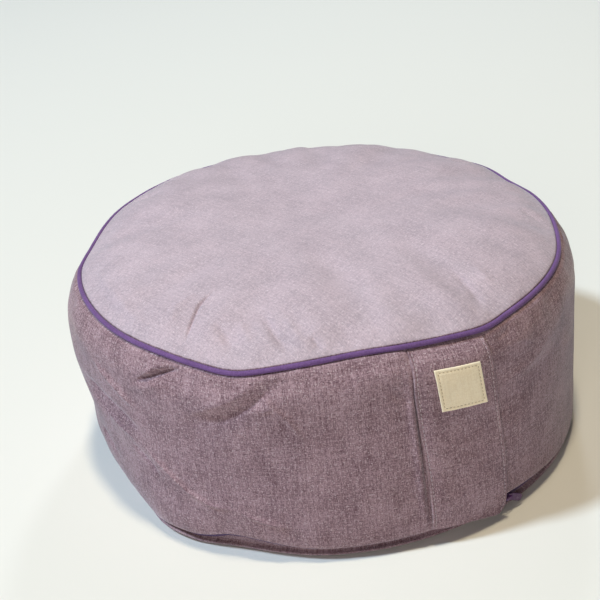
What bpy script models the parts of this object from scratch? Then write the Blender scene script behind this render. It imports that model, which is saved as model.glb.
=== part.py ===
"""A round meditation cushion: a filled drum of cloth with a piped top seam, a zip in its
lower seam, and a carrying strap with a small cloth label sewn on its front.

Metres, +Z up. The origin is the middle of the flat base, on the floor, and -Y is the front,
where the strap is. A turn is an angle in degrees, anticlockwise seen from above, from the front.
"""

import math
from collections import namedtuple

import bmesh
import bpy

MM = 0.001

# Driving sizes. A seam's radius and height are those of its own line.
TOP_SEAM_RADIUS = 178 * MM
TOP_SEAM_HEIGHT = 151 * MM
LOW_SEAM_RADIUS = 185 * MM
LOW_SEAM_HEIGHT = 11 * MM
CROWN_HEIGHT = 21 * MM
CROWN_FULLNESS = 6.0
PIPING_RADIUS = 2.4 * MM
CLEARANCE = 0.4 * MM

# The side band rounds into each seam over this much of its height.
TOP_SHOULDER = 22 * MM
LOW_SHOULDER = 20 * MM
SHOULDER_POWER = 2.3

# The base panel: how far its rolled edge stands inside the lower seam, and the roll's size.
BASE_INSET = 2.0 * MM
BASE_ROLL = 12 * MM

# The zip lies in a channel behind the lower seam's open mouth.
ZIP_DEPTH = 3.6 * MM
ZIP_THICKNESS = 1.0 * MM
ZIP_COIL_RISE = 0.6 * MM
ZIP_COIL_HALF_HEIGHT = 0.9 * MM
ZIP_CHANNEL_LIP = 0.9 * MM
ZIP_START_TURN = 7.5
ZIP_END_TURN = 352.5
SLIDER_TURN = 11.6
SLIDER_LENGTH = 7.4 * MM
SLIDER_HEIGHT = 4.6 * MM
SLIDER_THICKNESS = 2.6 * MM
BRIDGE_WIDTH = 1.5 * MM
BRIDGE_GAP = 2.2 * MM
BRIDGE_FOOT = 1.2 * MM
BRIDGE_REACH = 2.8 * MM
BRIDGE_THICKNESS = 0.8 * MM
PULL_LENGTH = 11.5 * MM
PULL_WIDTH = 5.4 * MM
PULL_THICKNESS = 0.9 * MM
PULL_SWING = 7.0
PULL_DROOP = 30.0

STRAP_WIDTH = 58 * MM
STRAP_TOP_WIDTH = 55 * MM
STRAP_THICKNESS = 1.8 * MM
STRAP_GAP = 2.4 * MM
STRAP_TOP_GAP = 0.5 * MM
STRAP_LOW_GAP = 1.4 * MM
STRAP_TOP_SHIFT = -3.2 * MM
STRAP_LOW_SHIFT = 3.7 * MM
STRAP_LEFT_END_HEIGHT = 14 * MM
STRAP_RIGHT_END_HEIGHT = 5.5 * MM
STRAP_CORNER_RADIUS = 9 * MM
STRAP_LENGTH = 138 * MM

LABEL_WIDTH = 33 * MM
LABEL_DEPTH = 31 * MM
LABEL_THICKNESS = 0.9 * MM
LABEL_SHIFT = -0.2 * MM
LABEL_HEIGHT = 121.6 * MM
LABEL_LEAN = 6.0
LABEL_DROP = 3.0

# How finely the solids are cut.
TURNS = 96
TURN_STEP = 360 / TURNS
PIPING_SIDES = 8
SHARP_ANGLE = math.radians(40)

# How far each seam strays from its circle: mm outward and mm upward, at some turns.
Stray = namedtuple("Stray", "turn out up")
TOP_SEAM_STRAYS = (
    Stray(-165, 2, 4),
    Stray(-145, 1, 3.5),
    Stray(-124, -1.5, 0),
    Stray(-112, 1.5, 0),
    Stray(-90, 0, 0),
    Stray(-67, 0, 0),
    Stray(-55, 2, -1),
    Stray(-46, 5, -2),
    Stray(-38, 0.5, 0),
    Stray(-30, -4, 1.5),
    Stray(-19, -7, 3),
    Stray(-8, -5, 2),
    Stray(1, -2.5, 0.5),
    Stray(9.5, 2, -0.5),
    Stray(17, 0, 0),
    Stray(40, 0.5, 0),
    Stray(60, -2, 0),
    Stray(78, -1.5, -0.5),
    Stray(90, -3, -1.5),
    Stray(101, 0, 0),
    Stray(114, -1, -0.5),
    Stray(130, 0.5, 0.5),
    Stray(162, 0, 1.5),
)
LOW_SEAM_STRAYS = (
    Stray(-150, 1, 1),
    Stray(-112, 2, 2),
    Stray(-101, -5, 1),
    Stray(-92, -9, 0),
    Stray(-84, -7, 0),
    Stray(-76, -1, 0),
    Stray(-68, 4, -1),
    Stray(-60, 3, -1),
    Stray(-50, -1, 5),
    Stray(-41, -1, 1.5),
    Stray(-32, 0, -1),
    Stray(-10, 0, -0.5),
    Stray(3, 1, 2),
    Stray(12, 3.5, 4.5),
    Stray(20, 4, 3),
    Stray(33, 5, 0),
    Stray(55, 4, 1),
    Stray(80, 2, 0),
    Stray(110, 1, 2),
    Stray(140, 2, 0),
    Stray(175, 1, 1.5),
)

# The side band's radius in mm, in its upper and its lower third.
Wall = namedtuple("Wall", "turn upper lower")
WALLS = (
    Wall(-150, 189, 188.5),
    Wall(-116, 191, 188),
    Wall(-101, 193, 186),
    Wall(-90, 191.5, 184.5),
    Wall(-75, 188.5, 188.5),
    Wall(-55, 188.5, 189),
    Wall(-44, 188, 187),
    Wall(-25, 183.5, 187),
    Wall(-8, 184, 187.5),
    Wall(5, 186, 189),
    Wall(18, 188, 190.5),
    Wall(50, 189, 189),
    Wall(90, 188, 189),
    Wall(130, 189.5, 189),
    Wall(170, 188, 188),
)

# How high the mouth of the lower seam is open, in mm, over the zip.
Mouth = namedtuple("Mouth", "turn open")
MOUTHS = (
    Mouth(-90, 2.4),
    Mouth(-50, 3.2),
    Mouth(-30, 2.2),
    Mouth(0, 2.6),
    Mouth(9, 6.4),
    Mouth(18, 5.2),
    Mouth(32, 3.0),
    Mouth(90, 2.4),
    Mouth(180, 2.6),
)

# Folds of the side band, from one place to another: turn, height in mm, then the fold's half
# width and how far it stands out, in mm. A trough is negative.
Fold = namedtuple("Fold", "turn_a height_a turn_b height_b half_width rise")
SIDE_FOLDS = (
    Fold(-104, 118, -92, 96, 9, 1.6),
    Fold(-98, 128, -76, 92, 7, -1.8),
    Fold(-92, 116, -69, 90, 6, 2.0),
    Fold(-101, 88, -83, 40, 8, 2.0),
    Fold(-93, 84, -74, 44, 7, -1.8),
    Fold(-76, 78, -60, 50, 6, 2.2),
    Fold(-60, 50, -42, 34, 6, 1.8),
    Fold(-73, 64, -64, 46, 5, -1.6),
    Fold(-58, 123, -44, 146, 8, 2.6),
    Fold(-55, 112, -36, 142, 7, -1.8),
    Fold(-70, 128, -57, 143, 5, -2.4),
    Fold(-72, 118, -60, 132, 7, 1.6),
    Fold(-42, 141, -33, 106, 7, 1.6),
    Fold(13, 143, 22, 128, 7, 1.8),
    Fold(13, 107, 30, 122, 7, 1.8),
    Fold(14, 95, 34, 106, 8, -1.5),
    Fold(26, 146, 33, 130, 6, -1.8),
    Fold(70, 130, 92, 84, 10, 1.8),
    Fold(84, 132, 101, 100, 7, -1.8),
    Fold(112, 96, 134, 40, 11, 1.8),
    Fold(121, 134, 138, 112, 7, -1.6),
    Fold(152, 120, 168, 66, 10, 1.8),
    Fold(-172, 132, -158, 104, 8, -1.8),
    Fold(-150, 88, -128, 42, 10, 1.8),
)

# Dents and ridges of the top panel, from one place to another: turn, distance from the middle
# in mm, half width and rise in mm.
Dent = namedtuple("Dent", "turn_a radius_a turn_b radius_b half_width rise")
TOP_DENTS = (
    Dent(-104, 152, -84, 158, 9, 2.0),
    Dent(-84, 158, -64, 172, 8, 1.8),
    Dent(-96, 168, -74, 172, 6, -1.4),
    Dent(-58, 172, -62, 150, 7, -1.6),
    Dent(-62, 150, -60, 124, 6, -1.2),
    Dent(-54, 166, -56, 138, 9, 1.8),
    Dent(-47, 164, -47, 140, 10, -2.2),
    Dent(-44, 142, -32, 168, 6, -2.0),
    Dent(-36, 142, -27, 166, 8, 1.4),
    Dent(-26, 168, -22, 150, 6, -1.2),
    Dent(13, 134, 12, 168, 8, -2.4),
    Dent(2, 140, 6, 166, 9, 1.4),
    Dent(-167, 131, 163, 95, 22, -2.2),
    Dent(96, 160, 112, 140, 12, -1.6),
)


def smooth_ring(rows, column, turn):
    """A column of a table read at any turn, on a smooth closed curve through its rows."""
    turns = [row.turn for row in rows]
    values = [getattr(row, column) for row in rows]
    count = len(rows)
    at = (turn - turns[0]) % 360
    i = max(k for k in range(count) if turns[k] - turns[0] <= at + 1e-9)

    def knot(k):
        return turns[k % count] - turns[0] + 360 * (k // count), values[k % count]

    def slope(k):
        (t0, v0), (t1, v1), (t2, v2) = knot(k - 1), knot(k), knot(k + 1)
        before, after = (v1 - v0) / (t1 - t0), (v2 - v1) / (t2 - t1)
        return 0 if before * after <= 0 else 2 * before * after / (before + after)

    (t1, v1), (t2, v2) = knot(i), knot(i + 1)
    span = t2 - t1
    u = (at - t1) / span
    rise = (v2 - v1) * (3 * u * u - 2 * u**3)
    return v1 + rise + span * (slope(i) * u * (1 - u) ** 2 - slope(i + 1) * u * u * (1 - u))


def ease(u):
    """A smooth step from 0 to 1."""
    u = min(max(u, 0), 1)
    return u * u * (3 - 2 * u)


def ridge(x, y, a, b, half_width, rise):
    """How far a soft fold from point a to point b lifts the cloth at x, y."""
    along_x, along_y = b[0] - a[0], b[1] - a[1]
    length = math.hypot(along_x, along_y)
    share = ((x - a[0]) * along_x + (y - a[1]) * along_y) / length**2
    past = max(-share, share - 1, 0) * length
    across = ((x - a[0]) * along_y - (y - a[1]) * along_x) / length
    reach = math.hypot(across, 0.6 * past)
    fade = 0.45 + 0.55 * math.sin(math.pi * min(max(share, 0), 1))
    return rise * fade * math.exp(-((reach / half_width) ** 2))


def wrap(turn):
    """The same turn, from -180 to 180."""
    return (turn + 180) % 360 - 180


def side_relief(turn, height):
    """How far the folds of the side band move it outward."""
    total = 0
    for f in SIDE_FOLDS:
        x = math.radians(wrap(turn - f.turn_a)) * LOW_SEAM_RADIUS / MM
        span = math.radians(wrap(f.turn_b - f.turn_a)) * LOW_SEAM_RADIUS / MM
        drop = f.height_b - f.height_a
        total += ridge(x, height / MM - f.height_a, (0, 0), (span, drop), f.half_width, f.rise)
    return total * MM


def polar(turn, radius):
    """x and y of a point given by its turn and its distance from the middle."""
    angle = math.radians(turn - 90)
    return radius * math.cos(angle), radius * math.sin(angle)


def top_relief(turn, radius):
    """How far the dents and ridges of the top panel lift it."""
    x, y = polar(turn, radius / MM)
    total = 0
    for d in TOP_DENTS:
        a, b = polar(d.turn_a, d.radius_a), polar(d.turn_b, d.radius_b)
        total += ridge(x, y, a, b, d.half_width, d.rise)
    return total * MM


def top_seam(turn):
    """Radius and height of the piping's middle line."""
    out = smooth_ring(TOP_SEAM_STRAYS, "out", turn) * MM
    up = smooth_ring(TOP_SEAM_STRAYS, "up", turn) * MM
    return TOP_SEAM_RADIUS + out, TOP_SEAM_HEIGHT + up


def low_seam(turn):
    """Radius and height of the side band's lower edge."""
    out = smooth_ring(LOW_SEAM_STRAYS, "out", turn) * MM
    up = smooth_ring(LOW_SEAM_STRAYS, "up", turn) * MM
    return LOW_SEAM_RADIUS + out, LOW_SEAM_HEIGHT + up


def mouth(turn):
    """How high the lower seam is open."""
    return smooth_ring(MOUTHS, "open", turn) * MM


def wall_radius(turn, height, folds=True):
    """The side band's radius between its two seams."""
    top_radius, top_height = top_seam(turn)
    low_radius, low_height = low_seam(turn)
    share = (height - low_height) / (top_height - low_height)
    upper = smooth_ring(WALLS, "upper", turn) * MM
    lower = smooth_ring(WALLS, "lower", turn) * MM
    radius = lower + (upper - lower) * ease((share - 0.25) / 0.5)
    below_top = max(1 - (top_height - height) / TOP_SHOULDER, 0)
    above_low = max(1 - (height - low_height) / LOW_SHOULDER, 0)
    radius -= (upper - top_radius) * below_top**SHOULDER_POWER
    radius -= (lower - low_radius) * above_low**SHOULDER_POWER
    if folds:
        calm = ease((top_height - height) / (12 * MM)) * ease((height - low_height) / (10 * MM))
        radius += side_relief(turn, height) * calm
    return radius


def crown(turn, share):
    """Radius and height of the top panel at a share of the way out to the piping."""
    seam_radius, seam_height = top_seam(turn)
    radius = share * (seam_radius - PIPING_RADIUS)
    lift = CROWN_HEIGHT * (1 - share**CROWN_FULLNESS)
    middle_height = TOP_SEAM_HEIGHT + (seam_height - TOP_SEAM_HEIGHT) * share**3
    calm = ease((1 - share) / 0.05) * ease(share / 0.2)
    height = middle_height + PIPING_RADIUS + lift + top_relief(turn, radius) * calm
    return radius, height


def channel(turn):
    """The zip's channel at a turn: its back's radius, its floor's and roof's heights."""
    low_radius, low_height = low_seam(turn)
    back = low_radius - ZIP_DEPTH - ZIP_THICKNESS - 2 * CLEARANCE
    return back, low_height - mouth(turn) - ZIP_CHANNEL_LIP, low_height + ZIP_CHANNEL_LIP


def body_section(turn):
    """The filled body's outline at a turn, from its base to its top, as radius and height."""
    low_radius, low_height = low_seam(turn)
    back, channel_floor, channel_roof = channel(turn)
    edge = low_radius - BASE_INSET
    edge_height = low_height - mouth(turn)
    front = back + ZIP_THICKNESS + 2 * CLEARANCE + ZIP_COIL_RISE
    points = [(edge - BASE_ROLL, 0)]
    for angle in (25, 50, 72):
        roll = math.radians(angle)
        points.append(
            (
                edge - BASE_ROLL + BASE_ROLL * math.sin(roll),
                0.75 * edge_height * (1 - math.cos(roll)),
            )
        )
    points += [
        (edge, edge_height - 0.7 * MM),
        (edge - 0.6 * MM, edge_height),
        (front, channel_floor),
        (back, channel_floor),
        (back, channel_roof),
        (front, channel_roof),
        (low_radius - 0.7 * MM, low_height),
        (low_radius, low_height + 0.7 * MM),
    ]
    seam_radius, seam_height = top_seam(turn)
    first, last = low_height + 3 * MM, seam_height - 5 * MM
    for k in range(16):
        height = first + (last - first) * k / 15
        points.append((wall_radius(turn, height), height))
    groove = PIPING_RADIUS + 1.4 * CLEARANCE
    for angle in (-60, -95, -130, -165, -200, -235):
        around = math.radians(angle)
        points.append(
            (seam_radius + groove * math.cos(around), seam_height + groove * math.sin(around))
        )
    for share in (0.975, 0.945, 0.91, 0.865, 0.81, 0.73, 0.62, 0.48, 0.32, 0.16):
        points.append(crown(turn, share))
    return points


def material(name, colour, roughness, metallic=0.0):
    """A plain finish."""
    made = bpy.data.materials.new(name)
    made.use_nodes = True
    shader = made.node_tree.nodes["Principled BSDF"]
    shader.inputs["Base Color"].default_value = (*colour, 1)
    shader.inputs["Roughness"].default_value = roughness
    shader.inputs["Metallic"].default_value = metallic
    return made


def add_object(name, bm, finish):
    """Turns a bmesh into a named object, shaded smooth but for its sharp edges."""
    bmesh.ops.recalc_face_normals(bm, faces=bm.faces)
    mesh = bpy.data.meshes.new(name)
    bm.to_mesh(mesh)
    bm.free()
    mesh.shade_smooth()
    mesh.set_sharp_from_angle(angle=SHARP_ANGLE)
    mesh.materials.append(finish)
    made = bpy.data.objects.new(name, mesh)
    bpy.context.scene.collection.objects.link(made)
    return made


def skin(bm, loops, closed_loops=True, closed_row=False):
    """Faces between loops of points that have the same count."""
    count = len(loops[0])
    rows = list(zip(loops, loops[1:]))
    if closed_row:
        rows.append((loops[-1], loops[0]))
    for a, b in rows:
        for k in range(count if closed_loops else count - 1):
            n = (k + 1) % count
            bm.faces.new((a[k], a[n], b[n], b[k]))


def build_cushion(finish):
    """The filled body: top panel, side band and base panel around one filling."""
    bm = bmesh.new()
    sections = [body_section(k * TURN_STEP) for k in range(TURNS)]
    rings = []
    for i in range(len(sections[0])):
        ring = []
        for k, section in enumerate(sections):
            radius, height = section[i]
            ring.append(bm.verts.new((*polar(k * TURN_STEP, radius), height)))
        rings.append(ring)
    skin(bm, rings)
    base_middle = bm.verts.new((0, 0, 0))
    top_middle = bm.verts.new((0, 0, TOP_SEAM_HEIGHT + PIPING_RADIUS + CROWN_HEIGHT))
    for middle, ring in ((base_middle, rings[0]), (top_middle, rings[-1])):
        for k in range(TURNS):
            bm.faces.new((middle, ring[k], ring[(k + 1) % TURNS]))
    return add_object("cushion", bm, finish)


def build_piping(finish):
    """The cord of bias-cut cloth that is sewn into the top seam."""
    bm = bmesh.new()
    loops = []
    for k in range(TURNS):
        turn = k * TURN_STEP
        seam_radius, seam_height = top_seam(turn)
        loop = []
        for side in range(PIPING_SIDES):
            around = 2 * math.pi * side / PIPING_SIDES
            radius = seam_radius + PIPING_RADIUS * math.cos(around)
            height = seam_height + PIPING_RADIUS * math.sin(around)
            loop.append(bm.verts.new((*polar(turn, radius), height)))
        loops.append(loop)
    skin(bm, loops, closed_row=True)
    return add_object("piping", bm, finish)


def zip_section(turn):
    """The closed zip's outline at a turn: two tapes edge to edge, with the coil down the middle."""
    back, channel_floor, channel_roof = channel(turn)
    inner = back + CLEARANCE
    outer = inner + ZIP_THICKNESS
    low, high = channel_floor + CLEARANCE, channel_roof - CLEARANCE
    middle = (low + high) / 2
    coil = outer + ZIP_COIL_RISE
    return [
        (inner, low),
        (outer, low),
        (outer, middle - ZIP_COIL_HALF_HEIGHT),
        (coil, middle - 0.6 * ZIP_COIL_HALF_HEIGHT),
        (coil, middle + 0.6 * ZIP_COIL_HALF_HEIGHT),
        (outer, middle + ZIP_COIL_HALF_HEIGHT),
        (outer, high),
        (inner, high),
    ]


def build_zip(finish):
    """The zip, from one side of the strap all the way round to the other."""
    bm = bmesh.new()
    loops = []
    count = round((ZIP_END_TURN - ZIP_START_TURN) / TURN_STEP)
    for k in range(count + 1):
        turn = ZIP_START_TURN + k * TURN_STEP
        loop = [bm.verts.new((*polar(turn, r), z)) for r, z in zip_section(turn)]
        loops.append(loop)
    skin(bm, loops)
    bm.faces.new(loops[0])
    bm.faces.new(loops[-1])
    return add_object("zip", bm, finish)


def block(bm, corner_a, corner_b):
    """A box between two corners, in the slider's own frame."""
    made = bmesh.ops.create_cube(bm, size=1)["verts"]
    for v in made:
        for i in range(3):
            middle, size = (corner_a[i] + corner_b[i]) / 2, abs(corner_b[i] - corner_a[i])
            v.co[i] = middle + v.co[i] * size
    return made


def slider_place():
    """The slider's seat on the zip: where it is, and its turn about the upright axis."""
    section = zip_section(SLIDER_TURN)
    face = section[3][0]
    middle = (section[0][1] + section[-1][1]) / 2
    return (*polar(SLIDER_TURN, face), middle), math.radians(SLIDER_TURN)


def place(made, location, rotation):
    """Puts a piece on the slider's seat."""
    made.location = location
    made.rotation_euler = rotation
    return made


def build_slider(finish):
    """The slider's body on the coil, with the bridge that holds the pull."""
    bm = bmesh.new()
    half = SLIDER_LENGTH / 2
    seat = -0.35 * MM
    face = seat - SLIDER_THICKNESS + ZIP_COIL_RISE
    half_height = SLIDER_HEIGHT / 2
    outline = (
        (-half, -0.55 * half_height),
        (-0.45 * half, -half_height),
        (half, -0.8 * half_height),
        (half, 0.8 * half_height),
        (-0.45 * half, half_height),
        (-half, 0.55 * half_height),
    )
    loops = [[bm.verts.new((x, y, z)) for x, z in outline] for y in (seat, face)]
    skin(bm, loops)
    bm.faces.new(loops[0])
    bm.faces.new(loops[1])
    # The bridge is an arch along the slider: two feet sunk in the body, and a bar.
    top = face - BRIDGE_GAP
    foot, reach = BRIDGE_FOOT, BRIDGE_REACH
    profile = (
        (-reach, face + 0.3 * MM),
        (-reach, top),
        (-reach + BRIDGE_THICKNESS, top - BRIDGE_THICKNESS),
        (reach - BRIDGE_THICKNESS, top - BRIDGE_THICKNESS),
        (reach, top),
        (reach, face + 0.3 * MM),
        (reach - foot, face + 0.3 * MM),
        (reach - foot, top),
        (-reach + foot, top),
        (-reach + foot, face + 0.3 * MM),
    )
    bridge = bmesh.new()
    sides = []
    for z in (-BRIDGE_WIDTH / 2, BRIDGE_WIDTH / 2):
        sides.append([bridge.verts.new((x, y, z)) for x, y in profile])
    skin(bridge, sides)
    bridge.faces.new(sides[0])
    bridge.faces.new(sides[1])
    body = add_object("zip_slider", bm, finish)
    arch = add_object("bridge_join", bridge, finish)
    arch.hide_render = True
    arch.display_type = "WIRE"
    join = body.modifiers.new("bridge", "BOOLEAN")
    join.operation = "UNION"
    join.solver = "EXACT"
    join.object = arch
    location, angle = slider_place()
    for made in (body, arch):
        place(made, location, (0, 0, angle))
    return face, top


def build_pull(finish, face, top):
    """The pull: a flat tab whose eye goes round the bridge."""
    bm = bmesh.new()
    eye = 1.25 * MM
    eye_back = -eye - 0.9 * MM
    half_eye = BRIDGE_WIDTH / 2 + 0.6 * MM
    half = PULL_WIDTH / 2
    tip = PULL_LENGTH
    outline = (
        (eye_back, -0.62 * half),
        (eye + 1.0 * MM, -half),
        (tip - 1.6 * MM, -half),
        (tip, -half + 1.4 * MM),
        (tip, half - 1.4 * MM),
        (tip - 1.6 * MM, half),
        (eye + 1.0 * MM, half),
        (eye_back, 0.62 * half),
    )
    hole = (
        (-eye, -half_eye),
        (eye, -half_eye),
        (eye, half_eye),
        (-eye, half_eye),
    )
    thick = PULL_THICKNESS / 2
    outer = [[bm.verts.new((x, y, z)) for x, z in outline] for y in (-thick, thick)]
    inner = [[bm.verts.new((x, y, z)) for x, z in hole] for y in (-thick, thick)]
    skin(bm, outer)
    skin(bm, inner)
    for rim, gap in zip(outer, inner):
        edges = []
        for loop in (rim, gap):
            for k in range(len(loop)):
                edges.append(bm.edges.get((loop[k], loop[(k + 1) % len(loop)])))
        bmesh.ops.triangle_fill(bm, use_beauty=True, use_dissolve=False, edges=edges)
    pull = add_object("zip_pull", bm, finish)
    location, angle = slider_place()
    # Its eye is round the bridge's front foot, and it is swung a little out and down.
    out, along = (face + top) / 2, BRIDGE_REACH - BRIDGE_FOOT / 2
    x = along * math.cos(angle) - out * math.sin(angle)
    y = along * math.sin(angle) + out * math.cos(angle)
    middle = (location[0] + x, location[1] + y, location[2])
    place(pull, middle, (0, math.radians(PULL_DROOP), angle - math.radians(PULL_SWING)))
    return pull


def strap_point(share, down, outward):
    """A point of the strap: share is 0 at its left edge and 1 at its right, down is 0 at its
    top end and 1 at its low end, and outward is counted from its inner face."""
    width = STRAP_TOP_WIDTH + (STRAP_WIDTH - STRAP_TOP_WIDTH) * ease(down / 0.2)
    shift = STRAP_TOP_SHIFT + (STRAP_LOW_SHIFT - STRAP_TOP_SHIFT) * ease(down)
    # The low right corner is round.
    into_corner = max(STRAP_CORNER_RADIUS - (1 - down) * STRAP_LENGTH, 0)
    cut = STRAP_CORNER_RADIUS - math.sqrt(STRAP_CORNER_RADIUS**2 - into_corner**2)
    arc = shift - width / 2 + share * (width - cut)
    turn = math.degrees(arc / LOW_SEAM_RADIUS)
    start = top_seam(turn)[1] - PIPING_RADIUS - 1.2 * MM
    end = STRAP_LEFT_END_HEIGHT + (STRAP_RIGHT_END_HEIGHT - STRAP_LEFT_END_HEIGHT) * share
    height = start + (end - start) * down
    # It lies on the band, a little off it between its two sewn ends.
    released, held = ease(down / 0.3), ease((down - 0.8) / 0.2)
    gap = STRAP_TOP_GAP + (STRAP_GAP - STRAP_TOP_GAP) * released
    gap += (STRAP_LOW_GAP - STRAP_GAP) * held
    lip = low_seam(turn)[1] + 0.5 * MM
    radius = wall_radius(turn, max(height, lip), folds=False) + gap + outward
    return (*polar(turn, radius), height)


def build_strap(finish):
    """The carrying strap: folded cloth, held at the top seam and at the base."""
    bm = bmesh.new()
    columns, rows, corner_rows = 8, 20, 6
    corner = STRAP_CORNER_RADIUS / STRAP_LENGTH
    downs = [(1 - corner) * i / rows for i in range(rows)]
    for i in range(corner_rows + 1):
        downs.append(1 - corner * (1 - math.sin(math.pi / 2 * i / corner_rows)))
    loops = []
    for down in downs:
        inner, outer = [], []
        for k in range(columns + 1):
            inner.append(bm.verts.new(strap_point(k / columns, down, 0)))
            outer.append(bm.verts.new(strap_point(k / columns, down, STRAP_THICKNESS)))
        loops.append(inner + outer[::-1])
    skin(bm, loops)
    close_sheet(bm, loops)
    return add_object("strap", bm, finish)


def close_sheet(bm, loops):
    """The two ends of a sheet whose loops run along one face and back along the other."""
    for loop in (loops[0], loops[-1]):
        for k in range(len(loop) // 2 - 1):
            bm.faces.new((loop[k], loop[k + 1], loop[-2 - k], loop[-1 - k]))


def label_point(across, up, outward):
    """A point of the label: across and up from its middle, and outward from its inner face."""
    x = LABEL_SHIFT + across - up * math.tan(math.radians(LABEL_LEAN))
    z = LABEL_HEIGHT + up - across * math.tan(math.radians(LABEL_DROP))
    # The strap's place at that height, found by halving.
    low, high = 0.0, 0.9
    for _ in range(24):
        down = (low + high) / 2
        if strap_point(0.5, down, 0)[2] > z:
            low = down
        else:
            high = down
    width = STRAP_TOP_WIDTH + (STRAP_WIDTH - STRAP_TOP_WIDTH) * ease(down / 0.2)
    shift = STRAP_TOP_SHIFT + (STRAP_LOW_SHIFT - STRAP_TOP_SHIFT) * ease(down)
    share = (x - shift) / width + 0.5
    return strap_point(share, down, STRAP_THICKNESS + CLEARANCE + outward)


def build_label(finish):
    """The square cloth label, sewn flat on the strap."""
    bm = bmesh.new()
    cells = 6
    loops = []
    for i in range(cells + 1):
        up = LABEL_DEPTH * (i / cells - 0.5)
        inner, outer = [], []
        for k in range(cells + 1):
            across = LABEL_WIDTH * (k / cells - 0.5)
            inner.append(bm.verts.new(label_point(across, up, 0)))
            outer.append(bm.verts.new(label_point(across, up, LABEL_THICKNESS)))
        loops.append(inner + outer[::-1])
    skin(bm, loops)
    close_sheet(bm, loops)
    return add_object("label", bm, finish)


def main():
    """Builds the whole cushion in an empty scene."""
    for old in list(bpy.data.objects):
        bpy.data.objects.remove(old, do_unlink=True)
    linen = material("linen", (0.36, 0.27, 0.32), 0.9)
    piping_cloth = material("piping_cloth", (0.14, 0.07, 0.24), 0.75)
    zip_tape = material("zip_tape", (0.09, 0.04, 0.14), 0.7)
    zip_paint = material("zip_paint", (0.12, 0.05, 0.19), 0.4)
    label_cloth = material("label_cloth", (0.72, 0.6, 0.42), 0.85)
    build_cushion(linen)
    build_piping(piping_cloth)
    build_zip(zip_tape)
    face, top = build_slider(zip_paint)
    build_pull(zip_paint, face, top)
    build_strap(linen)
    build_label(label_cloth)


main()
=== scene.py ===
import math
from collections import namedtuple

import bmesh
import bpy
import numpy as np
from mathutils import Matrix, Vector, noise
from mathutils.bvhtree import BVHTree


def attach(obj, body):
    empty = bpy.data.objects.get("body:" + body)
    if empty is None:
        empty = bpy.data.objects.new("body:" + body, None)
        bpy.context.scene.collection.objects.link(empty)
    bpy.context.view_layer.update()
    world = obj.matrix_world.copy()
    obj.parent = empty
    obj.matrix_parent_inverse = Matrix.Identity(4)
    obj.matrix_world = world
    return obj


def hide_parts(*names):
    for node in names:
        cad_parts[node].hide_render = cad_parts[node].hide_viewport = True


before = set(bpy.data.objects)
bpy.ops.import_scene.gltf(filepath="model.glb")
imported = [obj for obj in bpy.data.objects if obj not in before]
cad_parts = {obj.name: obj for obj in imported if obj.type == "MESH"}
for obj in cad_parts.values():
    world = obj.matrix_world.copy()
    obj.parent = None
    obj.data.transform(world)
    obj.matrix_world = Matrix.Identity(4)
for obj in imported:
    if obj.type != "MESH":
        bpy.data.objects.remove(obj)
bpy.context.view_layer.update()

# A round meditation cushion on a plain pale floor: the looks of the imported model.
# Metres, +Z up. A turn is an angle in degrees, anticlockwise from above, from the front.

MM = 0.001
cad_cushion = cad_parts["cushion"]
cad_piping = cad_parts["piping"]
cad_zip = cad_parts["zip"]
cad_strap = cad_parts["strap"]

# Camera, aimed as the photograph was.
CAMERA_AZIMUTH = -24.8
CAMERA_ELEVATION = 28.8
CAMERA_ROLL = -6.06
CAMERA_DISTANCE = 0.9624
CAMERA_AIM = (-0.0165, 0.0076, 0.1031)
CAMERA_LENS = 74.98
SENSOR_WIDTH = 36.0

# The cover's mesh: columns round it, and rows in each panel.
COLUMNS = 240
COLUMN_STEP = 360 / COLUMNS
CORE = COLUMNS // 4
CORE_RADIUS = 148 * MM
TOP_ROWS = 8
BAND_ROWS = 36
BASE_ROWS = 6

# Its seams, and the radius that its band's cloth coordinates are measured at.
PIPING_RADIUS = 1.9 * MM
PANEL_EDGE = 2.2 * MM
MOUTH_DEPTH = 5.6 * MM
BAND_ROUND = 187 * MM
TOP_GRAIN_TURN = math.radians(21)

# The strap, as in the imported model.
STRAP_WIDTH = 58 * MM
STRAP_TOP_WIDTH = 55 * MM
STRAP_THICKNESS = 1.8 * MM
STRAP_TOP_SHIFT = -3.2 * MM
STRAP_LOW_SHIFT = 3.7 * MM
STRAP_LEFT_END_HEIGHT = 14 * MM
STRAP_RIGHT_END_HEIGHT = 5.5 * MM
STRAP_CORNER_RADIUS = 9 * MM
STRAP_LENGTH = 138 * MM
STRAP_ROUND = 185 * MM
STITCH_INSET = 2.3 * MM

LABEL_WIDTH = 33 * MM
LABEL_DEPTH = 31 * MM
LABEL_THICKNESS = 0.9 * MM
LABEL_SHIFT = -0.2 * MM
LABEL_HEIGHT = 121.6 * MM
LABEL_LEAN = math.tan(math.radians(6.0))
LABEL_DROP = math.tan(math.radians(3.0))
LABEL_STITCH_INSET = 2.2 * MM

ZIP_START_TURN = 7.5
ZIP_END_TURN = 352.5
ZIP_ROUND = 182 * MM
COIL_ROUND = 181.5 * MM
COIL_PITCH = 1.5 * MM

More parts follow.
